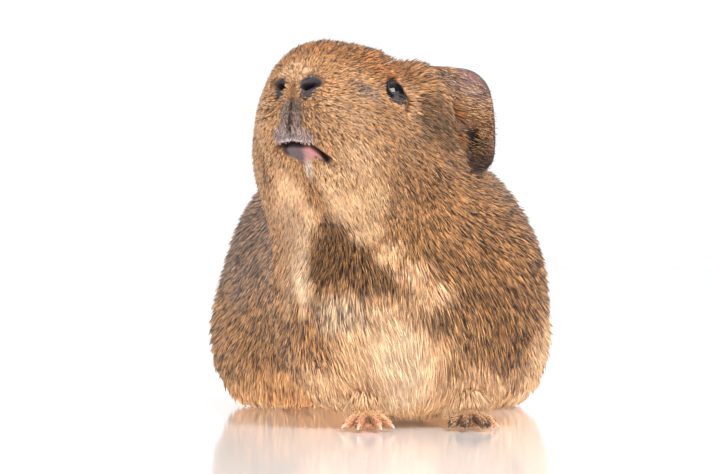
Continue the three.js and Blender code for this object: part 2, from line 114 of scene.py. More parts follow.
EYE_AT = (29.3, 22.5, 9.2)
EYE_RADIUS = 5.6
EYE_PROUD = 2.6
EYE_OPENING = (4.5, 4.2)
EYE_SLANT = 15.0
LOWER_LID = (0.40, 0.917, 3.1)  # the straight lower edge of the opening: its normal and reach
EYE_LIFT = 0.3
LID = 0.5
LID_REACH = 16  # from the middle of the eyeball to the end of the lids
LID_RIM = 0.3  # radius of the wet rim along the opening
EYE_COVER = 1.3  # how far the skin sinks under the eyeball inside the opening
CORNEA = {"swell": 0.035, "reach": 0.62}  # shares of the eyeball's radius

AHEAD = (0.3, 1, 1)  # scales places on the head so that distances are nearly as seen from ahead
NOSTRIL = ((-2.0, 4.3, 0.0), (-0.6, 7.4, 1.8))
NOSTRIL_DEPTH = 3.4
NOSTRIL_WIDTH = (1.25, 0.65)  # at the two ends of its middle line
NOSTRIL_RIM = 0.6
NOSE_PATCH_END = {1: 6.9, -1: 5.0}  # it shows more on the left
PHILTRUM = ((-2.7, 0.0, -4.0), (2.3, 0.0, -18.5))
PHILTRUM_DEPTH = (0.6, 1.5)  # at its top and bottom
LIP_PAD = ((0.2, 2.6, -12.0), (3.4, 5.4, -16.6))
MOUTH_MIDDLE = (4.0, 0.0, -18.7)
MOUTH_BEND = (5.5, 6.4, -18.6)
MOUTH_CORNER = (12.6, 10.9, -21.4)
MOUTH_DEPTH = 2.6
MOUTH_EDGE = ((0, 6.4, 10.9), (-18.7, -18.6, -21.0))  # aside, and the height of the line there
LOWER_LIP = ((6.4, -4.4, -22.0), (5.4, 0, -21.4), (6.4, 5.4, -21.8))
LOWER_LIP_DEEP = ((-4.5, -1.5, 1, 5, 10.1), (1.8, 2.9, 3.9, 3.3, 1.6))  # left, and depth there

EAR_AT = (61, 27, 17)
EAR_OUTWARD = (0.42, 0.9, -0.08)
EAR_OUTLINE = (
    (-9, 14.5), (3, 17.8), (10, 17.8), (15.5, 14.2), (18.6, 8.5), (21, 1),
    (23, -8.5), (23, -15.5), (18, -21), (7, -20.5), (-7, -11), (-11, 2),
)
EAR_MIDDLE = (7.5, -1.5)
EAR_CUP = 5.5
EAR_WALL = 1.5
EAR_HOLLOW_AT = ((14.5, -6.5), (6, 5.5))  # middle and radii, outward and up
EAR_FRINGE = ((-8, -1.5, 1.5, 3.5, 6, 14), (9.5, 8.5, 6.5, 3, -1.5, -4))  # up, and outward there

FOREFOOT = {"x": 18, "y": 3, "palm": (6.8, 8, 4.8), "height": 4.4}
FORE_TOES = {"angles": (-36, -12, 16, 44), "reach": (12, 14.5, 14.5, 11.2), "radius": 2.3}
WRIST = ((18, 6, 10), (8.2, 8.5, 10))
HINDFOOT = {"x": 34, "heel": 132, "ball": 104, "radius": 6, "height": 4.6}
HIND_TOES = {"angles": (-13, 3, 20), "reach": (14, 17, 13.5), "radius": 2.8}
FORE_CLAW = {"length": 3.6, "radius": 0.8, "drop": 1.3}
HIND_CLAW = {"length": 6.0, "radius": 1.25, "drop": 1.8}
PALM_HAIR = 1.0
WRIST_HAIR = 2.4
TOE_HAIR = 0.7
SOLE_LEVEL = 0.15
HAIR_LEVEL = 0.25

# ---------------------------------------------------------------- the coat

# Distance from the nose, and there: depth of the coat, length and width of a tuft, tufts for each
# square millimetre.
COAT_FROM_NOSE = (0.0, 12.0, 30.0, 55.0, 90.0, 130.0, 165.0, 230.0)
COAT_DEPTH = (0.5, 0.8, 1.3, 1.9, 2.5, 2.9, 3.2, 3.4)
TUFT_LENGTH = (1.4, 2.1, 3.3, 4.5, 5.2, 5.6, 6.6, 8.0)
TUFT_WIDTH = (0.15, 0.17, 0.21, 0.25, 0.29, 0.34, 0.48, 0.64)
TUFT_DENSITY = (12.0, 11.5, 9.5, 7.4, 5.6, 4.1, 1.7, 1.0)

COAT_AT_EYE = 0.9  # its depth at most beside an eye

MOST_TRIANGLES = 190000  # in one coat piece
PATCH = 0.003  # a tuft's patch on the baked unwrap

# Folds that the coat dips into: knots of a line, depth and width.
FOLDS = (
    (((-43, -26, 91), (-38, -20, 82), (-31, -12, 71)), 2.4, 3.4),
    (((-31, -12, 71), (-19, -13, 59), (-7, -15, 48)), 1.6, 4.0),
    (((-51, -6, 76), (-48, 4, 60), (-45, 10, 36)), 1.8, 4.0),
)


def srgb(*values):
    """Linear colour of 0 to 255 display values."""
    v = np.array(values, float) / 255
    return tuple(np.where(v <= 0.04045, v / 12.92, ((v + 0.055) / 1.055) ** 2.4))


# Each coat: undercoat, band that gives it its colour, dark tick, share of ticked tufts.
COATS = {
    "golden": (srgb(84, 58, 40), srgb(194, 138, 84), srgb(58, 43, 37), 0.48),
    "umber": (srgb(64, 45, 33), srgb(180, 124, 72), srgb(48, 36, 30), 0.54),
    "tan": (srgb(120, 84, 55), srgb(198, 148, 100), srgb(78, 55, 41), 0.34),
    "orange": (srgb(84, 54, 32), srgb(180, 116, 58), srgb(44, 32, 26), 0.58),
    "amber": (srgb(88, 54, 28), srgb(190, 118, 52), srgb(46, 33, 26), 0.52),
    "fawn": (srgb(136, 98, 69), srgb(203, 160, 121), srgb(104, 76, 56), 0.26),
    "peach": (srgb(180, 126, 84), srgb(234, 188, 142), srgb(150, 104, 74), 0.08),
    "apricot": (srgb(176, 116, 70), srgb(240, 182, 122), srgb(140, 90, 60), 0.08),
    "cream": (srgb(190, 144, 108), srgb(238, 204, 168), srgb(190, 146, 110), 0.08),
    "sand": (srgb(150, 108, 76), srgb(220, 176, 134), srgb(118, 86, 64), 0.22),
    "straw": (srgb(140, 102, 70), srgb(226, 182, 134), srgb(92, 68, 50), 0.22),
    "grey": (srgb(70, 58, 54), srgb(176, 134, 102), srgb(68, 58, 58), 0.58),
    "dusk": (srgb(42, 30, 22), srgb(148, 100, 54), srgb(38, 28, 23), 0.66),
    "bark": (srgb(34, 24, 20), srgb(92, 62, 44), srgb(34, 25, 22), 0.70),
    "ash": (srgb(112, 94, 80), srgb(214, 180, 146), srgb(84, 69, 61), 0.42),
    "smoke": (srgb(78, 62, 56), srgb(142, 118, 104), srgb(66, 52, 48), 0.55),
    "mauve": (srgb(120, 100, 98), srgb(170, 150, 144), srgb(106, 88, 88), 0.35),
    "white": (srgb(166, 148, 134), srgb(210, 192, 176), srgb(160, 142, 130), 0.2),
}

# Where each coat lies, laid one over another: coat, space, centre, radii, softness of its edge.
MARKINGS = (
    ("grey", "body", (-8, 95, 92), (60, 78, 36), 0.35),
    ("grey", "body", (-60, 66, 72), (26, 60, 28), 0.35),
    ("umber", "body", (34, 20, 56), (32, 46, 46), 0.35),
    ("apricot", "body", (0, 66, -4), (90, 110, 24), 0.25),
    ("peach", "body", (62, 46, 19), (26, 92, 31), 0.22),
    ("tan", "head", (12, 0, -6), (20, 24, 24), 0.35),
    ("golden", "head", (4, -4, 16), (15, 16, 7), 0.40),
    ("orange", "head", (30, 4, 22), (32, 26, 12), 0.35),
    ("amber", "head", (27, 18, 19), (10, 7, 6), 0.50),
    ("tan", "head", (36, 27, 12), (9, 6, 8), 0.35),
    ("grey", "head", (15.5, 18, 5), (7, 6, 2.8), 0.50),
    ("dusk", "head", (50, 32, 9), (8, 9, 11), 0.40),
    ("dusk", "head", (57, 33, 8), (5, 9, 9), 0.50),
    ("orange", "head", (55, 34, 15), (4, 5, 4.5), 0.40),
    ("tan", "head", (17, -12, -24), (16, 9, 12), 0.40),
    ("peach", "head", (22, -6, -33), (16, 7, 9), 0.40),
    ("straw", "head", (16, 10, -28), (12, 5, 7), 0.40),
    ("umber", "head", (16, -16, -22), (7, 3, 14), 0.40),
    ("sand", "head", (20, 17, -19), (9, 7, 7), 0.90),
    ("umber", "head", (42, 33, -14), (14, 9, 11), 0.45),
    ("sand", "head", (-1, -1, 6), (5, 6, 4.5), 0.45),
    ("fawn", "body", (-46, 0, 64), (5, 12, 28), 0.35),
    ("tan", "body", (-50, 6, 60), (4, 12, 30), 0.35),
    ("cream", "body", (-40, -4, 57), (3, 7, 15), 0.60),
    # The dusk band from below the jaw down the chest: dark-ticked fur, painted darker still as the
    # shade under the overhanging jowl.
    ("dusk", "body", (-28, -11, 70), (9, 8, 8), 0.35),
    ("dusk", "body", (-33, -9, 59), (8, 9, 8), 0.40),
    ("dusk", "body", (-22, -12, 58), (9, 9, 6), 0.40),
    ("dusk", "body", (-15, -13, 53), (7, 9, 5), 0.40),
    ("dusk", "body", (-7, -14, 46), (8, 9, 4.5), 0.40),
    ("dusk", "body", (2, -14, 40), (8, 9, 3.5), 0.45),
    ("straw", "body", (-22, -15, 80), (9, 8, 8), 0.40),
    ("peach", "body", (-28, -17, 80), (6, 8, 6), 0.45),
    ("peach", "body", (-20, -14, 69.5), (6, 8, 5), 0.45),
    ("peach", "body", (-11, -14, 62), (6.5, 8, 4.5), 0.50),
    ("sand", "body", (-4, -14, 56), (6, 8, 4), 0.65),
    ("sand", "body", (3, -14, 49), (6, 8, 4), 0.65),
    ("golden", "body", (-39, -17, 82), (3.5, 5, 5.5), 0.40),
    ("ash", "body", (-27, -10, 42), (10, 8, 7), 0.50),
    ("peach", "body", (-10, -8, 20), (20, 16, 26), 0.35),
    ("cream", "body", (-9, -8, 20), (12, 14, 21), 0.55),
    ("peach", "body", (-28, -2, 13), (14, 12, 12), 0.45),
    ("peach", "body", (19, -4, 13), (15, 11, 10), 0.45),
    # Painted shade under the belly, between the feet.
    ("umber", "body", (0, 46, 0), (30, 40, 7), 0.40),
    ("umber", "head", (-1, 0, -2), (3, 1.1, 4), 0.45),
    ("smoke", "head", (0, 5.4, 0), (3.4, 3.0, 4.2), 0.35),
    ("smoke", "head", (0, -5.0, 0), (3.4, 2.2, 4.2), 0.35),
    ("smoke", "head", (-1, 0.2, -10.5), (4, 4.2, 6), 0.40),
    ("mauve", "head", (1.4, -2.2, -16.6), (4.6, 3.4, 2.8), 0.60),
    ("mauve", "head", (2.4, 3.2, -16.8), (5, 4.4, 2.6), 0.60),
    # Painted shade in the groove down the middle of the upper lip.
    ("bark", "head", (-1, 0.0, -11.0), (4, 0.6, 7.5), 0.60),
    ("white", "head", (10, 3.2, -25.5), (5, 1.7, 5.0), 0.60),
)

# Where the coat is combed aside: centre, reach and the push given to its direction.
COMBING = (
    ((-34, -8, 60), 16, (-0.7, 0.0, -0.3)),
    ((-20, -10, 24), 16, (0.6, 0.0, -0.2)),
    ((10, -8, 20), 15, (-0.7, 0.0, -0.2)),
    ((-24, -15, 74), 12, (0.5, 0.0, -0.5)),
    ((-40, 5, 25), 18, (0.25, 0.0, -0.3)),
)


# ---------------------------------------------------------------- arrays


def unit(v):
    """Each vector divided by its own length."""
    return v / np.maximum(np.linalg.norm(v, axis=-1, keepdims=True), 1e-9)


def dot(a, b):
    return (a * b).sum(-1)


def mix(a, b, share):
    return a + (b - a) * share


def smoothstep(low, high, x):
    """0 below low, 1 above high, and 3t^2 - 2t^3 between them."""
    t = np.clip((x - low) / (high - low), 0, 1)
    return t * t * (3 - 2 * t)


def bump(distance, width):
    """A bell: exp(-(distance / width)^2)."""
    return np.exp(-((distance / width) ** 2))


def trench(distance, width):
    """A bell with a flat top and steep sides: exp(-(distance / width)^4)."""
    return np.exp(-((distance / width) ** 4))


def ripple(points, scale, seed):
    """Slow random variation from -1 to 1: five sine waves in random directions, averaged."""
    rng = np.random.default_rng(seed)
    ways = unit(rng.normal(size=(5, 3))) * rng.uniform(0.6, 1.5, (5, 1)) / scale
    phases = rng.uniform(0, 2 * np.pi, 5)
    return np.sin(points @ (2 * np.pi * ways.T) + phases).sum(-1) / 3.2


def monotone(knots, values, x):
    """Monotone cubic through the stations: Hermite curve whose slopes are harmonic means."""
    step = np.diff(knots)
    rise = np.diff(values) / step
    w0 = 2 * step[1:] + step[:-1]
    w1 = step[1:] + 2 * step[:-1]
    flat = rise[:-1] * rise[1:] <= 0
    before = np.where(flat, 1.0, rise[:-1])
    after = np.where(flat, 1.0, rise[1:])
    inner = np.where(flat, 0.0, (w0 + w1) / (w0 / before + w1 / after))
    slope = np.concatenate([rise[:1], inner, rise[-1:]])
    k = np.clip(np.searchsorted(knots, x, "right") - 1, 0, len(knots) - 2)
    t = (x - knots[k]) / step[k]
    climb = values[k + 1] - values[k]
    bend0 = step[k] * slope[k] - climb
    bend1 = climb - step[k] * slope[k + 1]
    return values[k] + t * climb + t * (1 - t) * (bend0 * (1 - t) + bend1 * t)


def axes_at(yaw, pitch):
    """Forward, left and up of a body turned by yaw and lifted by pitch, in degrees."""
    turn, lift = np.radians(yaw), np.radians(pitch)
    none = 0 * (turn + lift)
    level = np.cos(lift)
    forward = np.stack([-np.sin(turn) * level, -np.cos(turn) * level, np.sin(lift)], -1)
    left = np.stack([np.cos(turn) + none, none - np.sin(turn), none], -1)
    return forward, left, np.cross(forward, left)


FORWARD, LEFT, HEAD_UP = axes_at(np.float64(HEAD_YAW), np.float64(HEAD_PITCH))


def on_head(place):
    """Form point of [behind the nose, left, up]."""
    place = np.asarray(place, float)
    return NOSE - place[..., :1] * FORWARD + place[..., 1:2] * LEFT + place[..., 2:] * HEAD_UP


def in_head(points):
    """[behind the nose, left, up] of form points."""
    offset = points - NOSE
    return np.stack([-offset @ FORWARD, offset @ LEFT, offset @ HEAD_UP], -1)


def sided(place, side):
    return np.array(place, float) * (1, side, 1)


def twin(point, side):
    return np.array(point, float) * (side, 1, 1)


# ---------------------------------------------------------------- the blend of lumps


def ellipsoid_gap(offset, size):
    """Distance to an ellipsoid: k(k - 1) / |gradient of k|, where k is the scaled radius."""
    size = np.asarray(size, float)
    k = np.linalg.norm(offset / size, axis=-1)
    slope = np.linalg.norm(offset / size**2, axis=-1)
    return k * (k - 1) / (slope + 1e-9)


def blended(gaps, softness):
    """Smooth union: the nearest gap less softness times the log of the sum of exponentials."""
    nearest = np.minimum.reduce(gaps)
    total = sum(np.exp((nearest - gap) / softness) for gap in gaps)
    return nearest - softness * np.log(total)


def rod_gap(points, start, end, radii):
    """Distance to a tapered rod with round ends."""
    start, end = np.array(start, float), np.array(end, float)
    axis = end - start
    share = np.clip((points - start) @ axis / (axis @ axis), 0, 1)
    nearest = start + share[..., None] * axis
    return np.linalg.norm(points - nearest, axis=-1) - mix(radii[0], radii[1], share)


def head_gap(points):
    place = in_head(points)
    gaps = []
    for at, size, tilt in HEAD_LUMPS.values():
        c, s = np.cos(np.radians(tilt)), np.sin(np.radians(tilt))
        for side in (1, -1) if at[1] else (1,):
            back, left, up = np.moveaxis(place - sided(at, side), -1, 0)
            tilted = np.stack([back * c + up * s, left, up * c - back * s], -1)
            gaps.append(ellipsoid_gap(tilted, size))
    return blended(gaps, HEAD_BLEND)


def body_gap(points):
    gaps = [ellipsoid_gap(points - np.array(at), size) for at, size in BODY_LUMPS.values()]
    for at, size in PAIRED_LUMPS.values():
        gaps += [ellipsoid_gap(points - twin(at, side), size) for side in (1, -1)]
    gaps += [rod_gap(points, *rod) for rod in NECK_RODS.values()]
    return np.maximum(blended(gaps, BODY_BLEND), BELLY_CLEARANCE - points[..., 2])


def coat_gap(points):
    """Distance to the coat's surface, less than 0 inside it, with the folds pressed in."""
    gap = blended([head_gap(points), body_gap(points)], JOIN_BLEND)
    for knots, depth, width in FOLDS:
        gap = gap + depth * bump(from_line(points, *knots)[0], width)
    return gap


CORNERS = np.array([(1, -1, -1), (-1, -1, 1), (-1, 1, -1), (1, 1, 1)], float)


def gap_and_way(points, step=0.4):
    """Distance to the coat's surface and the way out of it, from four samples round each point."""
    samples = [coat_gap(points + corner * step) for corner in CORNERS]
    way = sum(sample[..., None] * corner for sample, corner in zip(samples, CORNERS))
    return sum(samples) / 4, unit(way)


def onto(points, level=0.0, passes=4):
    """Points moved along the way out until their distance to the coat's surface is level."""
    for _ in range(passes):
        gap, way = gap_and_way(points)
        points = points - way * (gap - level)[..., None]
    return points


# ---------------------------------------------------------------- the spine


def stations():
    """s, centre, yaw, pitch and lean of the rays, as in the frame."""
    head = lambda behind, up: on_head((behind, 0, up))
    rows = (
        (0.0, head(22, -2), HEAD_YAW, HEAD_PITCH, 90),
        (0.11, head(24, -2), HEAD_YAW, HEAD_PITCH, 35),
        (0.2, head(34, -1), HEAD_YAW, HEAD_PITCH, 0),
        (0.27, head(47, -1), HEAD_YAW, HEAD_PITCH + 15, 0),
        (0.34, head(58, -8), HEAD_YAW - 2, HEAD_PITCH + 30, 0),
        (0.41, head(72, -18), HEAD_YAW - 10, HEAD_PITCH + 35, 0),
        (0.53, (-6, 44, 66), 12, 44, 0),
        (0.62, (-4, 66, 56), 5, 20, 0),
        (0.7, (-3, 88, 52), 1, 6, 0),
        (0.77, (-3, 108, 50), 0, 0, 0),
        (0.88, (-3, 128, 48), 0, 0, -40),
        (1.0, (-3, 135, 47), 0, 0, -90),
    )
    return np.array([(s, *at, yaw, pitch, lean) for s, at, yaw, pitch, lean in rows], float)


def coat_surface(s, v):
    """The coat's surface at every (s, v): rays walk out from the spine until the blend ends."""
    table = stations()
    x, y, z, yaw, pitch, lean = (monotone(table[:, 0], table[:, i], s) for i in range(1, 7))
    forward, left, up = axes_at(yaw, pitch)
    lean = np.radians(lean)[:, None, None]
    v = v[None, :, None]
    ray = (np.cos(v) * left[:, None] + np.sin(v) * up[:, None]) * np.cos(lean)
    ray = ray + forward[:, None] * np.sin(lean)
    centre = np.stack([x, y, z], -1)[:, None]
    reach = np.full(ray.shape[:2], 20.0)
    for _ in range(26):
        reach = reach - 0.85 * coat_gap(centre + ray * reach[..., None])
    return centre + ray * reach[..., None]


def coat_value(points, values):
    """A size of the coat at form points, from the table by distance from the nose."""
    return np.interp(np.linalg.norm(points - NOSE, axis=-1), COAT_FROM_NOSE, values)


# ---------------------------------------------------------------- relief of the head


def from_line(place, *knots):
    """Distance to a line through the knots, and how far along it the nearest point lies (0-1)."""
    knots = np.array(knots, float)
    best = np.full(place.shape[:-1], np.inf)
    along = np.zeros(place.shape[:-1])
    for k in range(len(knots) - 1):
        axis = knots[k + 1] - knots[k]
        share = np.clip((place - knots[k]) @ axis / (axis @ axis), 0, 1)
        gap = np.linalg.norm(place - knots[k] - share[..., None] * axis, axis=-1)
        along = np.where(gap < best, (k + share) / (len(knots) - 1), along)
        best = np.minimum(gap, best)
    return best, along


def mouth_knots():
    return (
        sided(MOUTH_CORNER, -1), sided(MOUTH_BEND, -1), np.array(MOUTH_MIDDLE),
        np.array(MOUTH_BEND), np.array(MOUTH_CORNER),
    )


def plain_place(points):
    """Places on the head of skin points before the relief moved them."""
    return in_head(onto(points, -coat_value(points, COAT_DEPTH), 2))


def nose_patch(place, side):
    """Distance, seen from ahead, to a nostril's bare patch: a small triangle beside the nose."""
    top, low = (-0.4, 4.5, 2.0), (-0.5, 4.7, -3.0)
    corners = (top, (-0.1, NOSE_PATCH_END[side], 1.4), low, top)
    return from_line(place * AHEAD, *(sided(corner, side) for corner in corners))[0]


def nose_pit(place, side):
    """Distance, seen from ahead, to the middle line of a nostril."""
    return from_line(place * AHEAD, *(sided(knot, side) * AHEAD for knot in NOSTRIL))[0]


def mouth_line(place):
    """Distance to the line of the mouth, and its share: less where the coat covers it."""
    line, _ = from_line(place, *mouth_knots())
    return line, mix(0.25, 1.0, smoothstep(-7.5, -5.5, place[..., 1]))


def lip_share(place):
    """1 on the lower lip, which shows as a crescent under the line of the mouth."""
    aside = np.abs(place[..., 1])
    below = np.interp(aside, *MOUTH_EDGE) - place[..., 2]
    deep = np.interp(place[..., 1], *LOWER_LIP_DEEP) + 0.35 * ripple(place, 2.6, 90)
    inside = smoothstep(-0.6, 0.0, below) * (1 - smoothstep(deep - 0.2, deep + 0.9, below))
    inside = inside * (1 - smoothstep(9.8, 10.8, aside)) * (place[..., 0] < 16)
    return inside * smoothstep(-4.6, -3.8, place[..., 1])


def head_relief(place):
    """Height over the plain head in millimetres: pits and rims of the nostrils, the groove under
    the nose, the pads of the split lip, the line of the mouth and both lips."""
    relief = np.zeros(place.shape[:-1])
    for side in (1, -1):
        gap, along = from_line(place, *(sided(knot, side) for knot in NOSTRIL))
        relief -= NOSTRIL_DEPTH * trench(gap, mix(*NOSTRIL_WIDTH, along))
        relief += NOSTRIL_RIM * bump(gap - 2.2, 0.8)
        relief -= 0.6 * bump(nose_patch(place, side), 2.0)
        pad, _ = from_line(place, *(sided(knot, side) for knot in LIP_PAD))
        relief += bump(pad, 2.6)
    groove, along = from_line(place, *PHILTRUM)
    relief -= mix(*PHILTRUM_DEPTH, along) * bump(groove, 0.8)
    line, share = mouth_line(place)
    relief -= MOUTH_DEPTH * share * trench(line, 0.85)
    relief += 0.6 * share * bump(line - 1.7, 0.9)
    lower, _ = from_line(place, *LOWER_LIP)
    return relief - 0.8 * lip_share(place) + 0.5 * bump(lower, 1.6)


def eye_frame(side):
    """Centre of the eyeball, and its axes along the opening, across it and out of it."""
    surface = onto(on_head(sided(EYE_AT, side))[None])
    out = gap_and_way(surface)[1][0]
    centre = surface[0] + out * (EYE_PROUD - EYE_RADIUS)
    out = unit(out + UP * EYE_LIFT)
    long = unit(FORWARD - out * (FORWARD @ out))
    turn = np.radians(EYE_SLANT) * side
    long = long * np.cos(turn) + np.cross(out, long) * np.sin(turn)
    return centre, long, np.cross(out, long), out


def past_lower_lid(along, over):
    """How far a place in the eye's own plane lies beyond the straight lower lid."""
    return LOWER_LID[0] * along + LOWER_LID[1] * over - LOWER_LID[2]


def lidded(points):
    """Skin points near an eye climb onto the eyeball as lids, and sink under it in the opening."""
    for side in (1, -1):
        centre, long, across, out = eye_frame(side)
        offset = points - centre
        reach = np.linalg.norm(offset, axis=-1)
        along, over = offset @ long, offset @ across * side
        measure = np.hypot(along / EYE_OPENING[0], over / EYE_OPENING[1])
        measure = np.maximum(measure, 1 + past_lower_lid(along, over) / 4)
        front = smoothstep(-1.0, 1.5, offset @ out)
        lid = -blended([-reach, np.full_like(reach, -EYE_RADIUS - LID)], 0.5)
        shut = smoothstep(0.9, 1.08, measure)
        target = mix(EYE_RADIUS - EYE_COVER, lid, shut)
        new = mix(reach, target, front * (reach < LID_REACH))
        points = centre + offset * (new / reach)[..., None]
    return points


# ---------------------------------------------------------------- closed surfaces on a grid

# Every surface here is a grid of points [row, column] whose columns run once round and whose
# first and last rows are each one point, a pole.


def grid_faces(rows, columns):
    """Triangles of such a grid when its poles are kept as single points."""
    ring = np.arange(columns)
    beside = np.roll(ring, -1)
    start = 1 + np.arange(rows - 3)[:, None] * columns
    a, b = start + ring, start + beside
    sides = halves(a, b, b + columns, a + columns)
    last = 1 + (rows - 3) * columns
    end = last + columns
    first_fan = np.stack([np.zeros(columns, int), 1 + beside, 1 + ring], -1)
    last_fan = np.stack([last + ring, last + beside, np.full(columns, end)], -1)
    return np.concatenate([first_fan, sides, last_fan])


def halves(a, b, c, d):
    """The two triangles of every four-sided cell, from the numbers of its corners."""
    return np.stack([np.stack([a, b, c], -1), np.stack([a, c, d], -1)], 2).reshape(-1, 3)


def flat_points(grid):
    """The grid as a list of points with single poles."""
    return np.concatenate([grid[:1, 0], grid[1:-1].reshape(-1, grid.shape[-1]), grid[-1:, 0]])


def facing_out(points, faces):
    """Faces turned so that the closed surface has a positive volume."""
    a, b, c = (points[faces[:, i]] for i in range(3))
    volume = dot(a, np.cross(b, c)).sum()
    return faces if volume > 0 else faces[:, ::-1]


def make_mesh(name, points, faces):
    """A smooth mesh object from form points in millimetres and triangles."""
    mesh = bpy.data.meshes.new(name)
    mesh.vertices.add(len(points))
    mesh.vertices.foreach_set("co", ((points - ORIGIN) * MM).astype(np.float32).ravel())
    mesh.loops.add(faces.size)
    mesh.loops.foreach_set("vertex_index", faces.astype(np.int32).ravel())
    mesh.polygons.add(len(faces))
    mesh.polygons.foreach_set("loop_start", np.arange(0, faces.size, 3, dtype=np.int32))
    mesh.polygons.foreach_set("use_smooth", np.ones(len(faces), bool))
    mesh.update(calc_edges=True)
    mesh.validate()
    piece = bpy.data.objects.new(name, mesh)
    bpy.context.scene.collection.objects.link(piece)
    return piece


def grid_mesh(name, grid):
    points = flat_points(grid)
    return make_mesh(name, points, facing_out(points, grid_faces(*grid.shape[:2])))


def grid_normals(grid):
    """Outward normals of a closed grid: the cross product of its row and column differences,
    turned away from the middle of the grid."""
    down = np.gradient(grid, axis=0)
    around = np.roll(grid, -1, 1) - np.roll(grid, 1, 1)
    normal = unit(np.cross(down, around))
    middle = grid.reshape(-1, 3).mean(0)
    return normal if dot(normal, grid - middle).mean() > 0 else -normal


def rod_grid(path, width, height=None, rows=18, columns=16, swell=None):
    """A tapered rod with round ends along path(t): ring radius times the sine of its place, with
    its own width and height. swell(t) scales the ring where joints thicken it."""
    height = width if height is None else height
    along = np.linspace(0, 1, rows)
    t = (1 - np.cos(np.pi * along)) / 2
    round_end = np.minimum(1, np.sin(np.pi * along) * 1.6)
    if swell is not None:
        round_end = round_end * swell(t)
    centre = path(t)
    tangent = unit(path(np.minimum(t + 0.01, 1)) - path(np.maximum(t - 0.01, 0)))
    across = unit(np.cross(UP, tangent))
    over = np.cross(tangent, across)
    v = round_angles(columns)[None, :, None]
    wide = (mix(*ends(width), t) * round_end)[:, None, None]
    high = (mix(*ends(height), t) * round_end)[:, None, None]
    return centre[:, None] + np.cos(v) * wide * across[:, None] + np.sin(v) * high * over[:, None]


def ends(size):
    """A size given once holds at both ends."""
    return size if isinstance(size, tuple) else (size, size)


def round_angles(count):
    """Angles spaced evenly once round, in radians."""
    return np.linspace(0, 2 * np.pi, count, endpoint=False)


def bezier(*controls):
    """The quadratic curve of three control points, as a function of an array t."""
    a, b, c = (np.array(p, float) for p in controls)

    def path(t):
        t = np.asarray(t)[..., None]
        return a * (1 - t) ** 2 + 2 * b * t * (1 - t) + c * t**2

    return path


def ellipsoid_grid(at, size, rows=24, columns=32):
    """An ellipsoid: cosine and sine of the two angles times its radii."""
    down = np.linspace(0, np.pi, rows)[:, None]
    v = round_angles(columns)[None]
    shape = [np.sin(down) * np.cos(v), np.sin(down) * np.sin(v), np.cos(down) + 0 * v]
    shape = np.stack(shape, -1)
    return np.array(at, float) + shape * np.array(size, float)


def on_floor(grid):
    """The grid with what would pass through the floor pressed flat on it."""
    pressed = grid.copy()
    pressed[..., 2] = np.maximum(grid[..., 2], SOLE_LEVEL)
    return pressed


def closed_curve(knots, t):
    """Closed Catmull-Rom curve through the knots at t from 0 to 1."""
    knots = np.array(knots, float)
    place = (np.asarray(t) % 1) * len(knots)
    k = place.astype(int) % len(knots)
    f = (place - np.floor(place))[..., None]
    p0, p1, p2, p3 = (knots[(k + i) % len(knots)] for i in (-1, 0, 1, 2))
    return 0.5 * (
        2 * p1 + (p2 - p0) * f + (2 * p0 - 5 * p1 + 4 * p2 - p3) * f**2
        + (3 * p1 - p0 - 3 * p2 + p3) * f**3
    )


# ---------------------------------------------------------------- body, ears and feet

BODY_ROWS = 300
BODY_COLUMNS = 300
EAR_ROWS = 40
EAR_COLUMNS = 68


def body_rows():
    """s of every row, close together on the head and wider on the body."""
    return np.interp(np.linspace(0, 1, BODY_ROWS), (0, 0.22, 0.58, 1), (0, 0.11, 0.36, 1))


def skin_grid():
    """The coat's surface sunk by the coat's depth, with the relief of the head and the lids."""
    points = coat_surface(body_rows(), round_angles(BODY_COLUMNS))
    points = onto(points, -skin_depth(points), 3)
    way = gap_and_way(points)[1]
    points = lidded(points + way * head_relief(in_head(points))[..., None])
    for pole in (0, -1):
        points[pole] = points[pole].mean(0)
    return points


def near_eye(points, side):
    """1 at the middle of an eyeball, falling to nothing over the skin round it."""
    return bump(np.linalg.norm(points - eye_frame(side)[0], axis=-1), 8.0)


def skin_depth(points):
    """Depth of the coat, less where the eyes sit."""
    depth = coat_value(points, COAT_DEPTH)
    for side in (1, -1):
        depth = mix(depth, np.minimum(depth, COAT_AT_EYE), near_eye(points, side))
    return depth


def ear_axes(side):
    """Root of the ear, and its outward, upward and facing directions."""
    back, out, up = EAR_OUTWARD
    outward = unit(-FORWARD * back + LEFT * out * side + HEAD_UP * up)
    upward = unit(HEAD_UP - outward * (HEAD_UP @ outward))
    return on_head(sided(EAR_AT, side)), outward, upward, np.cross(outward, upward) * side


def ear_relief(x, y):
    """Depth of the ear's cup at [outward, up] of its own plane: a ridge that runs down from the
    root, the hollow beside it, and fine ribs that fan out to the rim."""
    flat = np.stack([x, y, 0 * x], -1)
    fold, _ = from_line(flat, (-4, 9, 0), (4, 2, 0), (8, -6, 0), (7, -13, 0))
    hollow, _ = from_line(flat, (13, -4, 0), (14, -11, 0))
    ribs = np.sin(np.arctan2(y + 4, x + 6) * 16) * smoothstep(8, 16, x)
    return 2.0 * bump(fold, 2.6) - 2.4 * bump(hollow, 4.0) + 0.12 * ribs


def ear_grid(side):
    """The ear: a closed sheet over its outline, front from the middle to the rim, then the back."""
    along = np.linspace(0, 1, EAR_ROWS)[:, None]
    turn = np.linspace(0, 1, EAR_COLUMNS, endpoint=False)[None]
    reach = np.sin(np.pi * along) ** 0.9
    middle = np.array(EAR_MIDDLE, float)
    rim = closed_curve(EAR_OUTLINE, turn)
    flat = middle + (rim - middle) * reach[..., None]
    sheet = -EAR_CUP * (1 - reach**2)
    sheet = sheet + ear_relief(flat[..., 0], flat[..., 1]) * (1 - reach**6)
    depth = sheet + np.cos(np.pi * along) * (EAR_WALL / 2)
    root, outward, upward, facing = ear_axes(side)
    return root + flat[..., :1] * outward + flat[..., 1:] * upward + depth[..., None] * facing


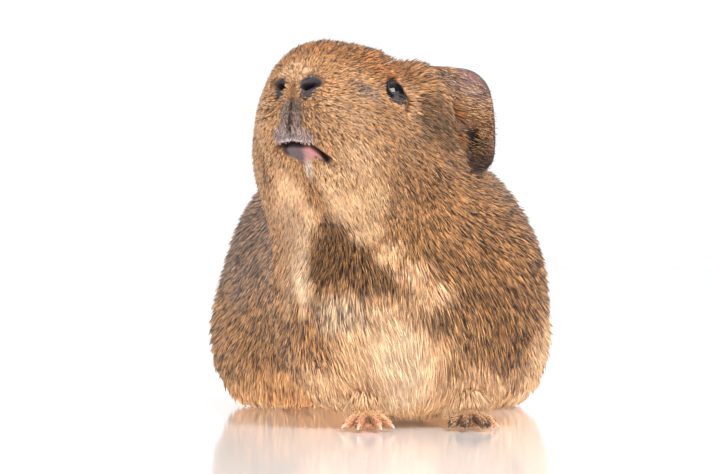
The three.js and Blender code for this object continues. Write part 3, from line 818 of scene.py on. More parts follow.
def toe_path(root, angle, reach, side, lift):
    """From the palm over the knuckle and down to the tip."""
    way = np.array([np.sin(np.radians(angle)) * side, -np.cos(np.radians(angle)), 0])
    start = root + UP * lift
    knuckle = root + way * reach * 0.55 + UP * (lift + 0.8)
    return bezier(start, knuckle, root + way * reach + UP * (lift - 2.2))


def toe_paths(root, toes, height, side):
    pairs = zip(toes["angles"], toes["reach"])
    return [toe_path(root, angle, reach, side, height) for angle, reach in pairs]


def fore_toes(side):
    root = np.array([FOREFOOT["x"] * side, FOREFOOT["y"], 0.0])
    return toe_paths(root, FORE_TOES, FOREFOOT["height"], side)


def hind_toes(side):
    root = np.array([HINDFOOT["x"] * side, HINDFOOT["ball"], 0.0])
    return toe_paths(root, HIND_TOES, HINDFOOT["height"], side)


def knuckles(t):
    """Thickening of a toe at its two joints and its tip."""
    joints = 0.13 * bump(t - 0.45, 0.1) + 0.1 * bump(t - 0.74, 0.08)
    return 0.86 + joints + 0.16 * bump(t - 0.95, 0.07)


def foot_grids(side):
    """Palm, wrist and toes of a forefoot, and sole and toes of a hind foot, less their hair."""
    palm_at = (FOREFOOT["x"] * side, FOREFOOT["y"], FOREFOOT["height"])
    palm = ellipsoid_grid(palm_at, np.array(FOREFOOT["palm"]) - PALM_HAIR)
    wrist = ellipsoid_grid(twin(WRIST[0], side), np.array(WRIST[1]) - WRIST_HAIR)
    toe = FORE_TOES["radius"] - TOE_HAIR
    fore = [palm, wrist] + [rod_grid(path, toe, swell=knuckles) for path in fore_toes(side)]
    x, height, radius = HINDFOOT["x"] * side, HINDFOOT["height"], HINDFOOT["radius"]
    start, end = np.array([x, HINDFOOT["heel"], height]), np.array([x, HINDFOOT["ball"], height])
    sole = bezier(start, (start + end) / 2, end)
    hind = [rod_grid(sole, radius - TOE_HAIR, height - 0.2, rows=24, columns=24)]
    toe = HIND_TOES["radius"] - TOE_HAIR
    hind += [rod_grid(path, toe, swell=knuckles) for path in hind_toes(side)]
    return {"fore": [on_floor(grid) for grid in fore], "hind": [on_floor(grid) for grid in hind]}


def find_origin():
    """The frame's origin in form millimetres, from where its eyes sit."""
    offsets = []
    for name, side in SIDES.items():
        low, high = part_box(f"eye_{name}")
        seen = (np.array(low) + np.array(high)) / 2 / MM
        offsets.append(eye_frame(side)[0] - seen)
    return np.mean(offsets, 0)


ORIGIN = find_origin()

# ---------------------------------------------------------------- markings


def coat_row(name):
    """One of COATS as ten numbers."""
    under, band, tick, share = COATS[name]
    return np.array([*under, *band, *tick, share])


def coat_mix(one, other, share):
    """Ten numbers between those of two coats, for each share."""
    return mix(coat_row(one), coat_row(other), share[:, None])


def coat_numbers(points, settings):
    """Undercoat, band and tick colours and the share of ticked tufts at form points: ten numbers
    each, laid over one another in the order of MARKINGS."""
    place = in_head(points)
    value = np.broadcast_to(coat_row("golden"), points.shape[:-1] + (10,)).copy()
    for k, (coat, space, centre, radii, soft) in enumerate(MARKINGS):
        where = place if space == "head" else points
        reach = np.linalg.norm((where - np.array(centre)) / np.array(radii), axis=-1)
        reach = reach + 0.16 * ripple(points, 14.0, 40 + k)
        share = 1 - smoothstep(1 - soft, 1 + soft, reach)
        value = mix(value, coat_row(coat), share[..., None])
    value[..., 9] *= settings.ticking
    return value


def skin_tone(*values):
    """A colour of bare skin, from display values."""
    return np.array(srgb(*values))


LIP_RIM = skin_tone(196, 184, 182)
LIP_DARK = skin_tone(80, 66, 68)
LIP_PINK = skin_tone(160, 108, 104)
NOSE_SKIN = skin_tone(50, 41, 45)
# Painted shade inside the nostrils, tinted dark red.
NOSTRIL_SHADE = skin_tone(22, 8, 12)
# Painted shade in the slit of the mouth and its corners, tinted dark red.
MOUTH_SLIT_SHADE = skin_tone(44, 24, 26)
LID_SKIN = skin_tone(30, 22, 25)
FOOT_PINK = skin_tone(204, 120, 100)
FOOT_DARK = skin_tone(44, 38, 38)
EAR_PINK = skin_tone(136, 102, 96)
EAR_TAN = skin_tone(110, 78, 62)
# Painted shade in the hollow of the ear.
EAR_HOLLOW = skin_tone(24, 14, 11)
EAR_BROWN = skin_tone(42, 25, 20)
EAR_EDGE = skin_tone(70, 60, 62)


def laid(colour, over, share):
    """A colour with another laid over it by its share at each point."""
    return mix(colour, over, share[..., None])


def lid_share(points, margin):
    """1 within `margin` of the opening of the lids, falling to 0 over a further 0.6 mm. The margin
    narrows in front, where the coat comes up to the lid, and reaches further at the rear corner."""
    share = np.zeros(points.shape[:-1])
    for side in (1, -1):
        centre, long, across, out = eye_frame(side)
        offset = points - centre
        along, over = offset @ long, offset @ across * side
        size = np.maximum(np.hypot(along, over), 0.1)
        reach = np.hypot(along / EYE_OPENING[0], over / EYE_OPENING[1])
        gap = (reach - 1) * size / np.maximum(reach, 0.1)
        gap = np.maximum(gap, past_lower_lid(along, over))
        deep = np.maximum(3.4 - offset @ out, 0)
        gap = np.where(gap > 0, np.hypot(gap, deep), gap)
        ahead = (0.8 * along + 0.6 * over) / size
        behind = (0.67 * over - 0.74 * along) / size
        room = margin * (1 - 0.9 * smoothstep(-0.2, 0.75, ahead))
        room = room + 3.2 * smoothstep(0.66, 0.95, behind)
        near = (offset @ out > -3) * (np.linalg.norm(offset, axis=-1) < 12)
        share = np.maximum(share, (1 - smoothstep(room, room + 0.6, gap)) * near)
    return share


def bare_share(points):
    """1 where the skin shows with no tufts: nostril patches, lips and mouth, round the eyes."""
    place = plain_place(points)
    shares = [lid_share(points, 1.6), smoothstep(0.75, 1.0, lip_share(place))]
    line, share = mouth_line(place)
    edge = smoothstep(7, 5, np.abs(place[..., 1])) * 0.55
    shares.append(share * smoothstep(1.5 + edge, 0.9 + edge, line))
    for side in (1, -1):
        shares.append(1 - smoothstep(0.7, 1.4, nose_patch(place, side)))
        shares.append(1 - smoothstep(1.8, 2.4, nose_pit(place, side)))
    return np.maximum.reduce(shares)


def lip_colour(place):
    """Skin of the lower lip: grey with a pink left part, and painted shade in the corners of the
    mouth.
    """
    across = place[..., 1] + 0.5 * ripple(place, 2.2, 91) - 0.35 * (place[..., 2] + 20.5)
    left, right = smoothstep(7.8, 9.0, place[..., 1]), smoothstep(-1.8, -2.8, place[..., 1])
    return laid(laid(LIP_DARK, LIP_PINK, smoothstep(2.2, 4.6, across)), MOUTH_SLIT_SHADE,
                np.maximum(left, right))


def foot_colour(points):
    """Skin of the feet: pink, and dark on the forefoot to the left but for its outer toe."""
    dark = smoothstep(5, 9, points[..., 0]) * smoothstep(28, 24, points[..., 0])
    return laid(FOOT_PINK, FOOT_DARK, dark * 0.85)


def skin_colours(points, settings):
    """Colour of the skin: the coat's own markings, darker as in the depth of fur, and bare skin,
    with painted shade in the nostrils, in the slit of the mouth and in the hollow of the ears.
    """
    numbers = coat_numbers(points, settings)
    colour = mix(numbers[..., :3], numbers[..., 3:6], 0.35) * 0.8
    place = plain_place(points)
    for side in (1, -1):
        colour = laid(colour, NOSE_SKIN, 1 - smoothstep(1.6, 3.0, nose_patch(place, side)))
        # Painted shade in the slit of each nostril.
        colour = laid(colour, NOSTRIL_SHADE, bump(nose_pit(place, side), 1.7))
        root, outward, upward, facing = ear_axes(side)
        offset = points - root
        x, y, depth = offset @ outward, offset @ upward, offset @ facing
        on_ear = smoothstep(2, 7, x) * (np.abs(depth) < 9) * (np.abs(y) < 27) * (x < 26)
        colour = laid(colour, ear_skin(x, y), on_ear)
    colour = laid(colour, lip_colour(place), lip_share(place))
    line, share = mouth_line(place)
    rim = bump(line - 1.6, 0.55) * (place[..., 2] > -19) * share
    colour = laid(colour, LIP_RIM, rim * smoothstep(8.5, 6.5, place[..., 1]))
    # Painted shade in the slit of the mouth.
    colour = laid(colour, MOUTH_SLIT_SHADE, share * trench(line, 0.95))
    colour = laid(colour, LID_SKIN, lid_share(points, 1.9))
    feet = smoothstep(6.5, 4.0, points[..., 2]) * (np.abs(points[..., 0]) > 6)
    return laid(colour, foot_colour(points), feet * 0.8 * (points[..., 1] < 20))


def ear_rim_gap(x, y):
    """Distance to the ear's outline in its own plane."""
    rim = closed_curve(EAR_OUTLINE, np.linspace(0, 1, 90))
    return np.min(np.hypot(x[..., None] - rim[:, 0], y[..., None] - rim[:, 1]), -1)


def past_ear_fringe(x, y):
    """How far outward a place on the ear lies from the fringe in front of its hollow."""
    return x - np.interp(y, *EAR_FRINGE)


def ear_hollow(x, y):
    """1 in the hollow of the ear, which is painted dark as shade: an ellipse with a soft edge."""
    (middle_x, middle_y), (half_x, half_y) = EAR_HOLLOW_AT
    reach = np.hypot((x - middle_x) / half_x, (y - middle_y) / half_y)
    return 1 - smoothstep(0.6, 1.2, reach)


def ear_skin(x, y):
    """Skin of the ear: mauve-pink at the top, painted shade in the hollow, brown below, grey at the
    rim.
    """
    colour = laid(EAR_PINK, EAR_TAN, smoothstep(15, 3, y + 0.35 * (x - 12)))
    colour = laid(colour, EAR_BROWN, smoothstep(-8, -15, y))
    colour = laid(colour, EAR_HOLLOW, ear_hollow(x, y))
    return laid(colour, EAR_EDGE, bump(ear_rim_gap(x, y), 1.1))


# ---------------------------------------------------------------- materials


class Nodes:
    """A material's or group's node tree, with one call for each node and link."""

    def __init__(self, tree):
        self.tree = tree

    def join(self, node, inputs):
        """Links the inputs that are given sockets, and sets the others."""
        for socket, value in inputs.items():
            if isinstance(value, bpy.types.NodeSocket):
                self.tree.links.new(value, node.inputs[socket])
            else:
                node.inputs[socket].default_value = value

    def add(self, kind, inputs=None, **settings):
        node = self.tree.nodes.new(kind)
        for key, value in settings.items():
            setattr(node, key, value)
        self.join(node, inputs or {})
        return node


def new_group(name, inputs, outputs):
    """An empty shader group with named sockets, and its input and output nodes."""
    group = bpy.data.node_groups.new(name, "ShaderNodeTree")
    for label, kind, default in inputs:
        socket = group.interface.new_socket(label, in_out="INPUT", socket_type=kind)
        socket.default_value = default
    for label, kind in outputs:
        group.interface.new_socket(label, in_out="OUTPUT", socket_type=kind)
    nodes = Nodes(group)
    return group, nodes, nodes.add("NodeGroupInput"), nodes.add("NodeGroupOutput")


def mottle_group():
    """Colour that wanders in brightness, and a fine grain: noise on Object coordinates."""
    if "Mottle" in bpy.data.node_groups:
        return bpy.data.node_groups["Mottle"]
    group, nodes, given, result = new_group(
        "Mottle",
        [("Color", "NodeSocketColor", (0.5, 0.5, 0.5, 1)), ("Scale", "NodeSocketFloat", 200.0),
         ("Amount", "NodeSocketFloat", 0.3), ("Grain", "NodeSocketFloat", 0.3)],
        [("Color", "NodeSocketColor"), ("Normal", "NodeSocketVector")],
    )
    place = nodes.add("ShaderNodeTexCoord").outputs["Object"]
    noise = nodes.add("ShaderNodeTexNoise", {
        "Vector": place, "Scale": given.outputs["Scale"], "Detail": 5.0, "Roughness": 0.6,
    })
    darker = nodes.add("ShaderNodeMixRGB", {
        "Fac": given.outputs["Amount"], "Color1": given.outputs["Color"],
        "Color2": noise.outputs["Color"],
    }, blend_type="OVERLAY")
    grain = nodes.add("ShaderNodeBump", {
        "Strength": given.outputs["Grain"], "Distance": 0.0004, "Height": noise.outputs["Fac"],
    })
    nodes.join(result, {"Color": darker.outputs["Color"], "Normal": grain.outputs["Normal"]})
    return group


def new_material(name):
    material = bpy.data.materials.new(name)
    material.use_nodes = True
    nodes = Nodes(material.node_tree)
    nodes.shader = material.node_tree.nodes["Principled BSDF"]
    return material, nodes


def mottled(nodes, colour, scale, amount, grain):
    """Joins a colour to the shader through the mottle group."""
    group = nodes.add("ShaderNodeGroup", {
        "Color": colour, "Scale": scale, "Amount": amount, "Grain": grain,
    }, node_tree=mottle_group())
    nodes.join(nodes.shader, {
        "Base Color": group.outputs["Color"], "Normal": group.outputs["Normal"],
    })


def skin_material():
    """Skin: its painted markings, finely grained."""
    material, nodes = new_material("skin")
    colour = nodes.add("ShaderNodeAttribute", attribute_name="markings").outputs["Color"]
    mottled(nodes, colour, scale=900.0, amount=0.35, grain=0.5)
    nodes.join(nodes.shader, {"Roughness": 0.55, "Specular IOR Level": 0.35})
    return material


def hair_material():
    """Hair: each tuft's own colour from root to tip, a soft shine and a little sheen."""
    material, nodes = new_material("hair")
    colour = nodes.add("ShaderNodeAttribute", attribute_name="hair_colour").outputs["Color"]
    nodes.join(nodes.shader, {
        "Base Color": colour, "Roughness": 0.6, "Specular IOR Level": 0.25,
        "Sheen Weight": 0.08, "Sheen Roughness": 0.5,
    })
    return material


def eye_material(iris, pupil_size):
    """The eyeball: a black pupil in a dark brown iris with radial streaks, under a wet coat."""
    material, nodes = new_material("eye")
    place = nodes.add("ShaderNodeAttribute", attribute_name="eye_place").outputs["Vector"]
    split = nodes.add("ShaderNodeSeparateXYZ", {"Vector": place})
    ring = nodes.add("ShaderNodeMapRange", {
        "Value": split.outputs["X"], "From Min": pupil_size - 0.06, "From Max": pupil_size + 0.1,
    })
    streaks = nodes.add("ShaderNodeTexNoise", {"Vector": place, "Scale": 9.0, "Detail": 4.0})
    brown = nodes.add("ShaderNodeMixRGB", {
        "Fac": streaks.outputs["Fac"], "Color1": (*iris, 1),
        "Color2": (*(0.35 * c for c in iris), 1),
    })
    colour = nodes.add("ShaderNodeMixRGB", {
        "Fac": ring.outputs["Result"], "Color1": (0.002, 0.0015, 0.002, 1),
        "Color2": brown.outputs["Color"],
    })
    nodes.join(nodes.shader, {
        "Base Color": colour.outputs["Color"], "Specular IOR Level": 0.0,
        "Coat Weight": 1.0, "Coat IOR": 1.42, "Coat Roughness": 0.02,
    })
    return material


def plain_material(name, colour, roughness, amount=0.3):
    """A single colour with mottle and grain: lid rims and whiskers."""
    material, nodes = new_material(name)
    mottled(nodes, (*colour, 1), scale=700.0, amount=amount, grain=0.25)
    nodes.join(nodes.shader, {"Roughness": roughness})
    return material


def claw_material(name, root, tip):
    """Horn: one colour at the root and another at the tip, along the claw's own attribute."""
    material, nodes = new_material(name)
    share = nodes.add("ShaderNodeAttribute", attribute_name="along").outputs["Fac"]
    ends_mix = {"Fac": share, "Color1": (*root, 1), "Color2": (*tip, 1)}
    colour = nodes.add("ShaderNodeMixRGB", ends_mix).outputs["Color"]
    mottled(nodes, colour, scale=900.0, amount=0.25, grain=0.3)
    nodes.join(nodes.shader, {"Roughness": 0.32, "Coat Weight": 0.3})
    return material


def paint(piece, name, values, kind="FLOAT_COLOR"):
    """Writes one value for each vertex to an attribute of the piece's mesh."""
    attribute = piece.data.attributes.new(name, kind, "POINT")
    if kind == "FLOAT_COLOR":
        values = np.concatenate([values, np.ones((len(values), 1))], -1)
    field = {"FLOAT_COLOR": "color", "FLOAT_VECTOR": "vector", "FLOAT": "value"}[kind]
    attribute.data.foreach_set(field, values.astype(np.float32).ravel())


def form_points(piece):
    """Vertices of a piece in form millimetres."""
    co = np.empty(len(piece.data.vertices) * 3, np.float32)
    piece.data.vertices.foreach_get("co", co)
    return co.reshape(-1, 3) / MM + ORIGIN


def finish_piece(piece, material, nodes=()):
    """Gives a piece its material and body, and hides the frame's nodes that it stands for."""
    piece.data.materials.clear()
    piece.data.materials.append(material)
    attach(piece, "root")
    if nodes:
        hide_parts(*nodes)


def united(name, grids):
    """One closed mesh from closed grids that overlap, by Boolean union."""
    pieces = [grid_mesh(name if k == 0 else f"{name}_{k}", grid) for k, grid in enumerate(grids)]
    return unite(pieces[0], pieces[1:])


def unite(base, others):
    """The base joined with the other pieces by Boolean union, which are then removed."""
    for other in others:
        modifier = base.modifiers.new(other.name, "BOOLEAN")
        modifier.operation = "UNION"
        modifier.solver = "MANIFOLD"
        modifier.object = other
    graph = bpy.context.evaluated_depsgraph_get()
    mesh = bpy.data.meshes.new_from_object(base.evaluated_get(graph))
    base.modifiers.clear()
    base.data = mesh
    for other in others:
        bpy.data.objects.remove(other)
    base.data.polygons.foreach_set("use_smooth", np.ones(len(mesh.polygons), bool))
    return base


# ---------------------------------------------------------------- tufts


def scatter(grid, density, rng):
    """Random places on a closed grid, `density` for each square millimetre: row, column and the
    share across each cell. Cells are drawn in proportion to their area times the density."""
    cells = (grid[:-1] + grid[1:]) / 2
    down = grid[1:] - grid[:-1]
    around = (np.roll(grid, -1, 1) - grid)[:-1]
    area = np.linalg.norm(np.cross(down, around), axis=-1)
    wanted = area * density(cells)
    count = rng.poisson(wanted.sum())
    chosen = np.searchsorted(np.cumsum(wanted.ravel()), rng.uniform(0, wanted.sum(), count))
    chosen = np.minimum(chosen, wanted.size - 1)
    row, column = np.unravel_index(chosen, wanted.shape)
    return row + rng.uniform(0, 1, count), column + rng.uniform(0, 1, count)


def sample(grid, row, column):
    """A grid's value between its points, by its four neighbours."""
    r, c = row.astype(int), column.astype(int) % grid.shape[1]
    f, g = (row - r)[:, None], (column - column.astype(int))[:, None]
    below, beside = np.minimum(r + 1, len(grid) - 1), (c + 1) % grid.shape[1]
    near = grid[r, c] * (1 - g) + grid[r, beside] * g
    far = grid[below, c] * (1 - g) + grid[below, beside] * g
    return near * (1 - f) + far * f


def turned(way, normal, angle):
    """Vectors turned about the normals by the angles."""
    return way * np.cos(angle)[:, None] + np.cross(normal, way) * np.sin(angle)[:, None]


def blade_faces(rings):
    """Triangles of a keeled blade: point 0 its root, a left and a right point at each ring, and
    last its tip. The upper side is a strip, and the two lower sides are fans from the root."""
    left = 1 + 2 * np.arange(rings)
    right, tip = left + 1, 2 * rings + 1
    top = [(0, right[0], left[0]), (left[-1], right[-1], tip)]
    sides = [(0, left[-1], tip), (0, tip, right[-1])]
    for k in range(rings - 1):
        top += [(left[k], right[k], right[k + 1]), (left[k], right[k + 1], left[k + 1])]
        sides += [(0, left[k], left[k + 1]), (0, right[k + 1], right[k])]
    return np.array(top + sides)


def tuft_mesh(name, tufts, material):
    """Tufts as closed keeled blades that taper both ways from their rings, half the width to
    either side and a little over the line from root to tip. Every tuft is a patch at its root's
    place on the skin's own (v, s) unwrap."""
    centres, ways = tuft_path(tufts)
    rings = len(centres) - 2
    columns = [centres[0]]
    for k in range(1, rings + 1):
        ahead = unit(centres[k + 1] - centres[k - 1])
        across = unit(np.cross(ways[k], ahead)) * (tufts["width"] / 2)[:, None]
        ridge = centres[k] + ways[k] * (tufts["width"] * 0.3)[:, None]
        columns += [ridge + across, ridge - across]
    columns.append(centres[-1])
    points = np.stack(columns, 1)
    count, corners = points.shape[:2]
    faces = (np.arange(count) * corners)[:, None, None] + blade_faces(rings)[None]
    piece = make_mesh(name, points.reshape(-1, 3), faces.reshape(-1, 3))
    level = np.concatenate([[0], np.repeat(np.arange(rings) + 1, 2), [rings + 1]]) / (rings + 1)
    root, middle, tip = np.moveaxis(tufts["shades"], 1, 0)[:, :, None]
    rise = level[None, :, None]
    shades = np.where(rise < 0.5, mix(root, middle, rise * 2), mix(middle, tip, rise * 2 - 1))
    paint(piece, "hair_colour", np.clip(shades, 0, 1).reshape(-1, 3))
    corner = np.stack([np.array([0.5] + [0, 1] * rings + [0.5]), level], -1)
    patch = tufts["unwrap"][:, None] * (1 - PATCH) + PATCH * corner[None]
    layer = piece.data.uv_layers.new(name="OFBake")
    layer.data.foreach_set("uv", patch.reshape(-1, 2)[faces.ravel()].astype(np.float32).ravel())
    finish_piece(piece, material)


def tuft_path(tufts):
    """Centre and way out at the root, each ring and the tip. On the body these are set at their
    own depth in the coat, so that the tuft follows the form; elsewhere it rises straight."""
    root, normal, lie = tufts["root"], tufts["normal"], tufts["lie"]
    rings = tufts["rings"]
    centres, ways = [root - normal * 0.3], [normal]
    for k in range(1, rings + 2):
        place = k / (rings + 1)
        lift = tufts["rise"] * place**0.75
        point = root + lie * (tufts["length"] * place)[:, None]
        if tufts["follows"]:
            gap, way = gap_and_way(point)
            point = point - way * (gap - (lift - tufts["depth"]))[:, None]
        else:
            point, way = point + normal * lift[:, None], normal
        centres.append(point)
        ways.append(way)
    for centre in centres:
        centre[:, 2] = np.maximum(centre[:, 2], HAIR_LEVEL)
    return centres, ways


# Clumps of tufts: cells this wide, the small ones near the nose, with edges that wander.
CLUMP = {"near": 55, "small": 1.7, "large": 3.0, "wander": 1.2, "lean": 0.4}
CELL_NUMBER = np.array([1, 4001, 4001**2])  # gives every cell a number of its own


def clumped(root, lie, length, normal, seed):
    """Direction and length once tips lean towards their clump's middle, and each clump's number."""
    near = np.linalg.norm(root - NOSE, axis=-1) < CLUMP["near"]
    size = np.where(near, CLUMP["small"], CLUMP["large"])[:, None]
    wander = np.stack([ripple(root, 5.0, seed + k) for k in range(3)], -1) * CLUMP["wander"]
    cell = np.floor((root + wander) / size).astype(int) + 500 * near[:, None]
    _, clump = np.unique(cell @ CELL_NUMBER, return_inverse=True)
    tip = root + lie * length[:, None]
    share = np.bincount(clump)[clump][:, None]
    middle = np.stack([np.bincount(clump, tip[:, k])[clump] for k in range(3)], -1) / share
    way = tip + (middle - tip) * CLUMP["lean"] - root
    way = way - normal * dot(way, normal)[:, None]
    return unit(way), np.linalg.norm(way, axis=-1), clump


VARIED = {"tuft": 0.16, "clump": 0.10, "warmth": 0.05}
PALE_TIP = np.array(srgb(250, 226, 190))


def tuft_shades(numbers, rng, clump=None):
    """Root, middle and tip colours of each tuft. A ticked tuft is dark from the middle or only at
    its tip, the others end pale, and brightness and warmth vary with the tuft and its clump."""
    count = len(numbers)
    under, band, tick, share = np.split(numbers, (3, 6, 9), -1)
    draw = rng.uniform(0, 1, (count, 1))
    all_dark, tip_dark = draw < share * 0.55, draw < share
    bright = rng.lognormal(0, VARIED["tuft"], (count, 1))
    if clump is not None:
        bright = bright * rng.lognormal(0, VARIED["clump"], clump.max() + 1)[clump][:, None]
    warm = rng.normal(0, VARIED["warmth"], (count, 1)) * np.array([[0.6, 0.0, -0.8]])
    middle = np.where(all_dark, mix(tick, band, 0.08), band)
    tip = np.where(tip_dark, tick, mix(band, PALE_TIP, 0.15))
    shades = np.stack([under, middle, tip], 1) * bright[:, None]
    return shades * (1 + warm)[:, None]


def combed(root, lie):
    """Directions pushed aside where the coat is combed."""
    for centre, reach, push in COMBING:
        near = bump(np.linalg.norm(root - np.array(centre), axis=-1), reach)
        lie = lie + near[:, None] * np.array(push)
    return lie


def inside(points, centre, radii):
    """1 at the middle of an ellipsoid, falling off in a bell as wide as its radii."""
    return bump(np.linalg.norm((points - centre) / radii, axis=-1), 1.0)


def lip_pads(place):
    """1 on the two pads of the upper lip, whose hair is short and thin."""
    return inside(place, (1.6, 0.8, -16.8), (5, 5.6, 2.8))


def under_whiskers(root, rng):
    """True for tufts at the roots of the whiskers on the pads, which show as dark spots."""
    spots = np.concatenate([whisker_roots(side)[:SPOTTED_ROOTS] for side in (1, -1)])
    spots = onto(on_head(spots + rng.normal(0, 0.3, spots.shape)), -1.0)
    return np.min([np.linalg.norm(root - one, axis=-1) for one in spots], 0) < SPOT_RADIUS


STRAY_SHARE = 0.04  # of the body's tufts, standing further out
BRISTLE_SHARE = 0.15  # of the tufts on the crown
BRISTLE_RISE = 0.3  # of a bristle's own length
SPOTTED_ROOTS = 14
SPOT_RADIUS = 0.65


CHEST = ((-10, -10, 28), (34, 22, 34))  # middle and radii of the long hair in front
HEM = (26, 8)  # heights between which the coat lengthens into its hem
LENGTHS = (0.7, 1.25)  # of a tuft, compared with the usual
WIDTHS = (0.7, 1.3)
RISES = (0.7, 1.2)


def hem_share(root):
    return smoothstep(*HEM, root[:, 2])


def fine_share(root, place):
    """1 where the coat is short and close: along the mouth, and round the eyes and nostrils."""
    shares = [bump(mouth_line(place)[0], 4.0)]
    for side in (1, -1):
        shares += [near_eye(root, side), bump(nose_patch(place, side), 4.0)]
    return np.maximum.reduce(shares)


def body_lie(grid, row, column, root, place, normal, rng):
    """Directions of the body's tufts: along the spine and down, combed aside, then turned by slow
    waves and a little by chance."""
    away = np.linalg.norm(root - NOSE, axis=-1)
    cheek = smoothstep(16, 42, away) * smoothstep(14, -4, place[:, 2])
    down = np.maximum(cheek, 1.8 * smoothstep(50, 100, away))
    lie = unit(sample(unit(np.gradient(grid, axis=0)), row, column))
    lie = combed(root, lie - UP * (down + 0.9 * hem_share(root))[:, None])
    lie = unit(lie - normal * dot(lie, normal)[:, None])
    chest = inside(root, *CHEST)
    drift = ripple(root, 26.0, 3) * 0.16 + ripple(root, 7.0, 4) * 0.14
    drift = drift + chest * ripple(root, 12.0, 5) * 0.3
    return turned(lie, normal, drift + rng.normal(0, 0.09, len(root)) * (1 - 0.4 * chest))


def body_length(root, place, fine, settings, rng):
    """Lengths of the body's tufts: more on the chest and the hem, less on the face, and none that
    reaches over the line of the mouth."""
    length = coat_value(root, TUFT_LENGTH) * settings.length * rng.uniform(*LENGTHS, len(root))
    length = length * (1 + 1.5 * inside(root, *CHEST) + 0.5 * hem_share(root))
    length = length * (1 - 0.5 * fine) * (1 - 0.45 * lip_pads(place))
    over_mouth = place[:, 2] > -19.5
    return np.where(over_mouth, np.minimum(length, 0.3 + 0.75 * mouth_line(place)[0]), length)


def body_rise(root, place, fine, length, rng):
    """Heights of the tips over the skin: near the coat's own surface, but for strays and for
    bristles on the crown."""
    stray = rng.uniform(0, 1, len(root)) < STRAY_SHARE
    rise = skin_depth(root) * np.where(stray, 1.5, rng.uniform(*RISES, len(root))) + 0.1
    crown = smoothstep(3, 9, place[:, 2]) * smoothstep(52, 42, place[:, 0]) * (1 - fine)
    bristle = rng.uniform(0, 1, len(root)) < BRISTLE_SHARE
    return rise + length * BRISTLE_RISE * crown * bristle


def body_tufts(grid, settings, rng):
    """Every tuft of the body's coat, with its root, direction, size, colours and (s, v)."""
    def density(points):
        wanted = coat_value(points, TUFT_DENSITY) * settings.density
        under = smoothstep(10, 4, points[..., 2]) * smoothstep(20, 40, points[..., 1])
        bare = np.maximum(bare_share(points), 0.7 * lip_pads(plain_place(points)))
        return wanted * (1 - 0.5 * under) * (1 - bare)

    row, column = scatter(grid, density, rng)
    root = sample(grid, row, column)
    gap, normal = gap_and_way(root)
    place = plain_place(root)
    fine = fine_share(root, place)
    lie = body_lie(grid, row, column, root, place, normal, rng)
    length = body_length(root, place, fine, settings, rng)
    lie, length, clump = clumped(root, lie, length, normal, 60)
    rise = body_rise(root, place, fine, length, rng)
    numbers = coat_numbers(root + lie * (length * 0.5)[:, None], settings)
    numbers = np.where(under_whiskers(root, rng)[:, None], coat_row("bark"), numbers)
    return {
        "root": root, "normal": normal, "lie": lie, "length": length, "rise": rise,
        "width": coat_value(root, TUFT_WIDTH) * rng.uniform(*WIDTHS, len(root)),
        "depth": -gap, "follows": True, "rings": 1,
        "shades": tuft_shades(numbers, rng, clump),
        "unwrap": np.stack([column / grid.shape[1], row / len(grid)], -1),
        "long": (inside(root, *CHEST) > 0.35) | (hem_share(root) > 0.3),
    }


def some(tufts, keep):
    """The tufts that keep picks, with whatever is the same for all left as it is."""
    lists = {key: value[keep] for key, value in tufts.items() if isinstance(value, np.ndarray)}
    return {**tufts, **lists}


EAR_LENGTH = {"front": 5.0, "back": 3.2, "fringe": 5.0}


def ear_length(x, y, front, fringe, rng):
    """Lengths of an ear's tufts: few go past the rim, and some of the fringe hangs over the ear."""
    room = np.where(x > 4, np.clip(ear_rim_gap(x, y) + 0.5, 1.2, 9), 9)
    usual = np.where(front, EAR_LENGTH["front"], EAR_LENGTH["back"])
    length = usual * rng.uniform(0.6, 1.2, len(x)) * (1 + 0.3 * fringe)
    over = bump(past_ear_fringe(x, y), 1.8) * front * smoothstep(-14, -9, y) * smoothstep(15, 3, y)
    return np.minimum(length, room) + EAR_LENGTH["fringe"] * over * rng.uniform(0, 1, len(x))


def ear_numbers(x, y, front, fringe, rng):
    """Coats of an ear's tufts: pale, brown and mauve ones mixed by chance on the front, dark ones
    before the fringe, orange ones in it, and grey to dusky ones on the back."""
    past = past_ear_fringe(x, y)
    y = y + rng.normal(0, 1.8, len(y))
    low = smoothstep(-6, -14, y)
    # Tufts in the hollow of the ear are painted darker, as the shade there.
    pale = coat_mix("straw", "bark", np.maximum(low, 0.3 * ear_hollow(x, y)))
    draw = rng.uniform(0, 1, (len(y), 1))
    pale = np.where(draw < 0.55, coat_mix("umber", "bark", low), pale)
    mauve = (draw > 0.3) & (draw < 0.3 + 0.45 * smoothstep(3, 12, y)[:, None])
    pale = np.where(mauve, coat_row("mauve"), pale)
    face = coat_mix("dusk", "umber", smoothstep(2, 9, y))
    pale = mix(pale, face, smoothstep(0.5, -1.5, past)[:, None])
    numbers = np.where(front[:, None], pale, coat_mix("grey", "dusk", smoothstep(6, 14, x)))
    orange = rng.uniform(0, 1, (len(y), 1)) < 1.3 * fringe[:, None]
    return np.where(orange & front[:, None], coat_row("orange"), numbers)


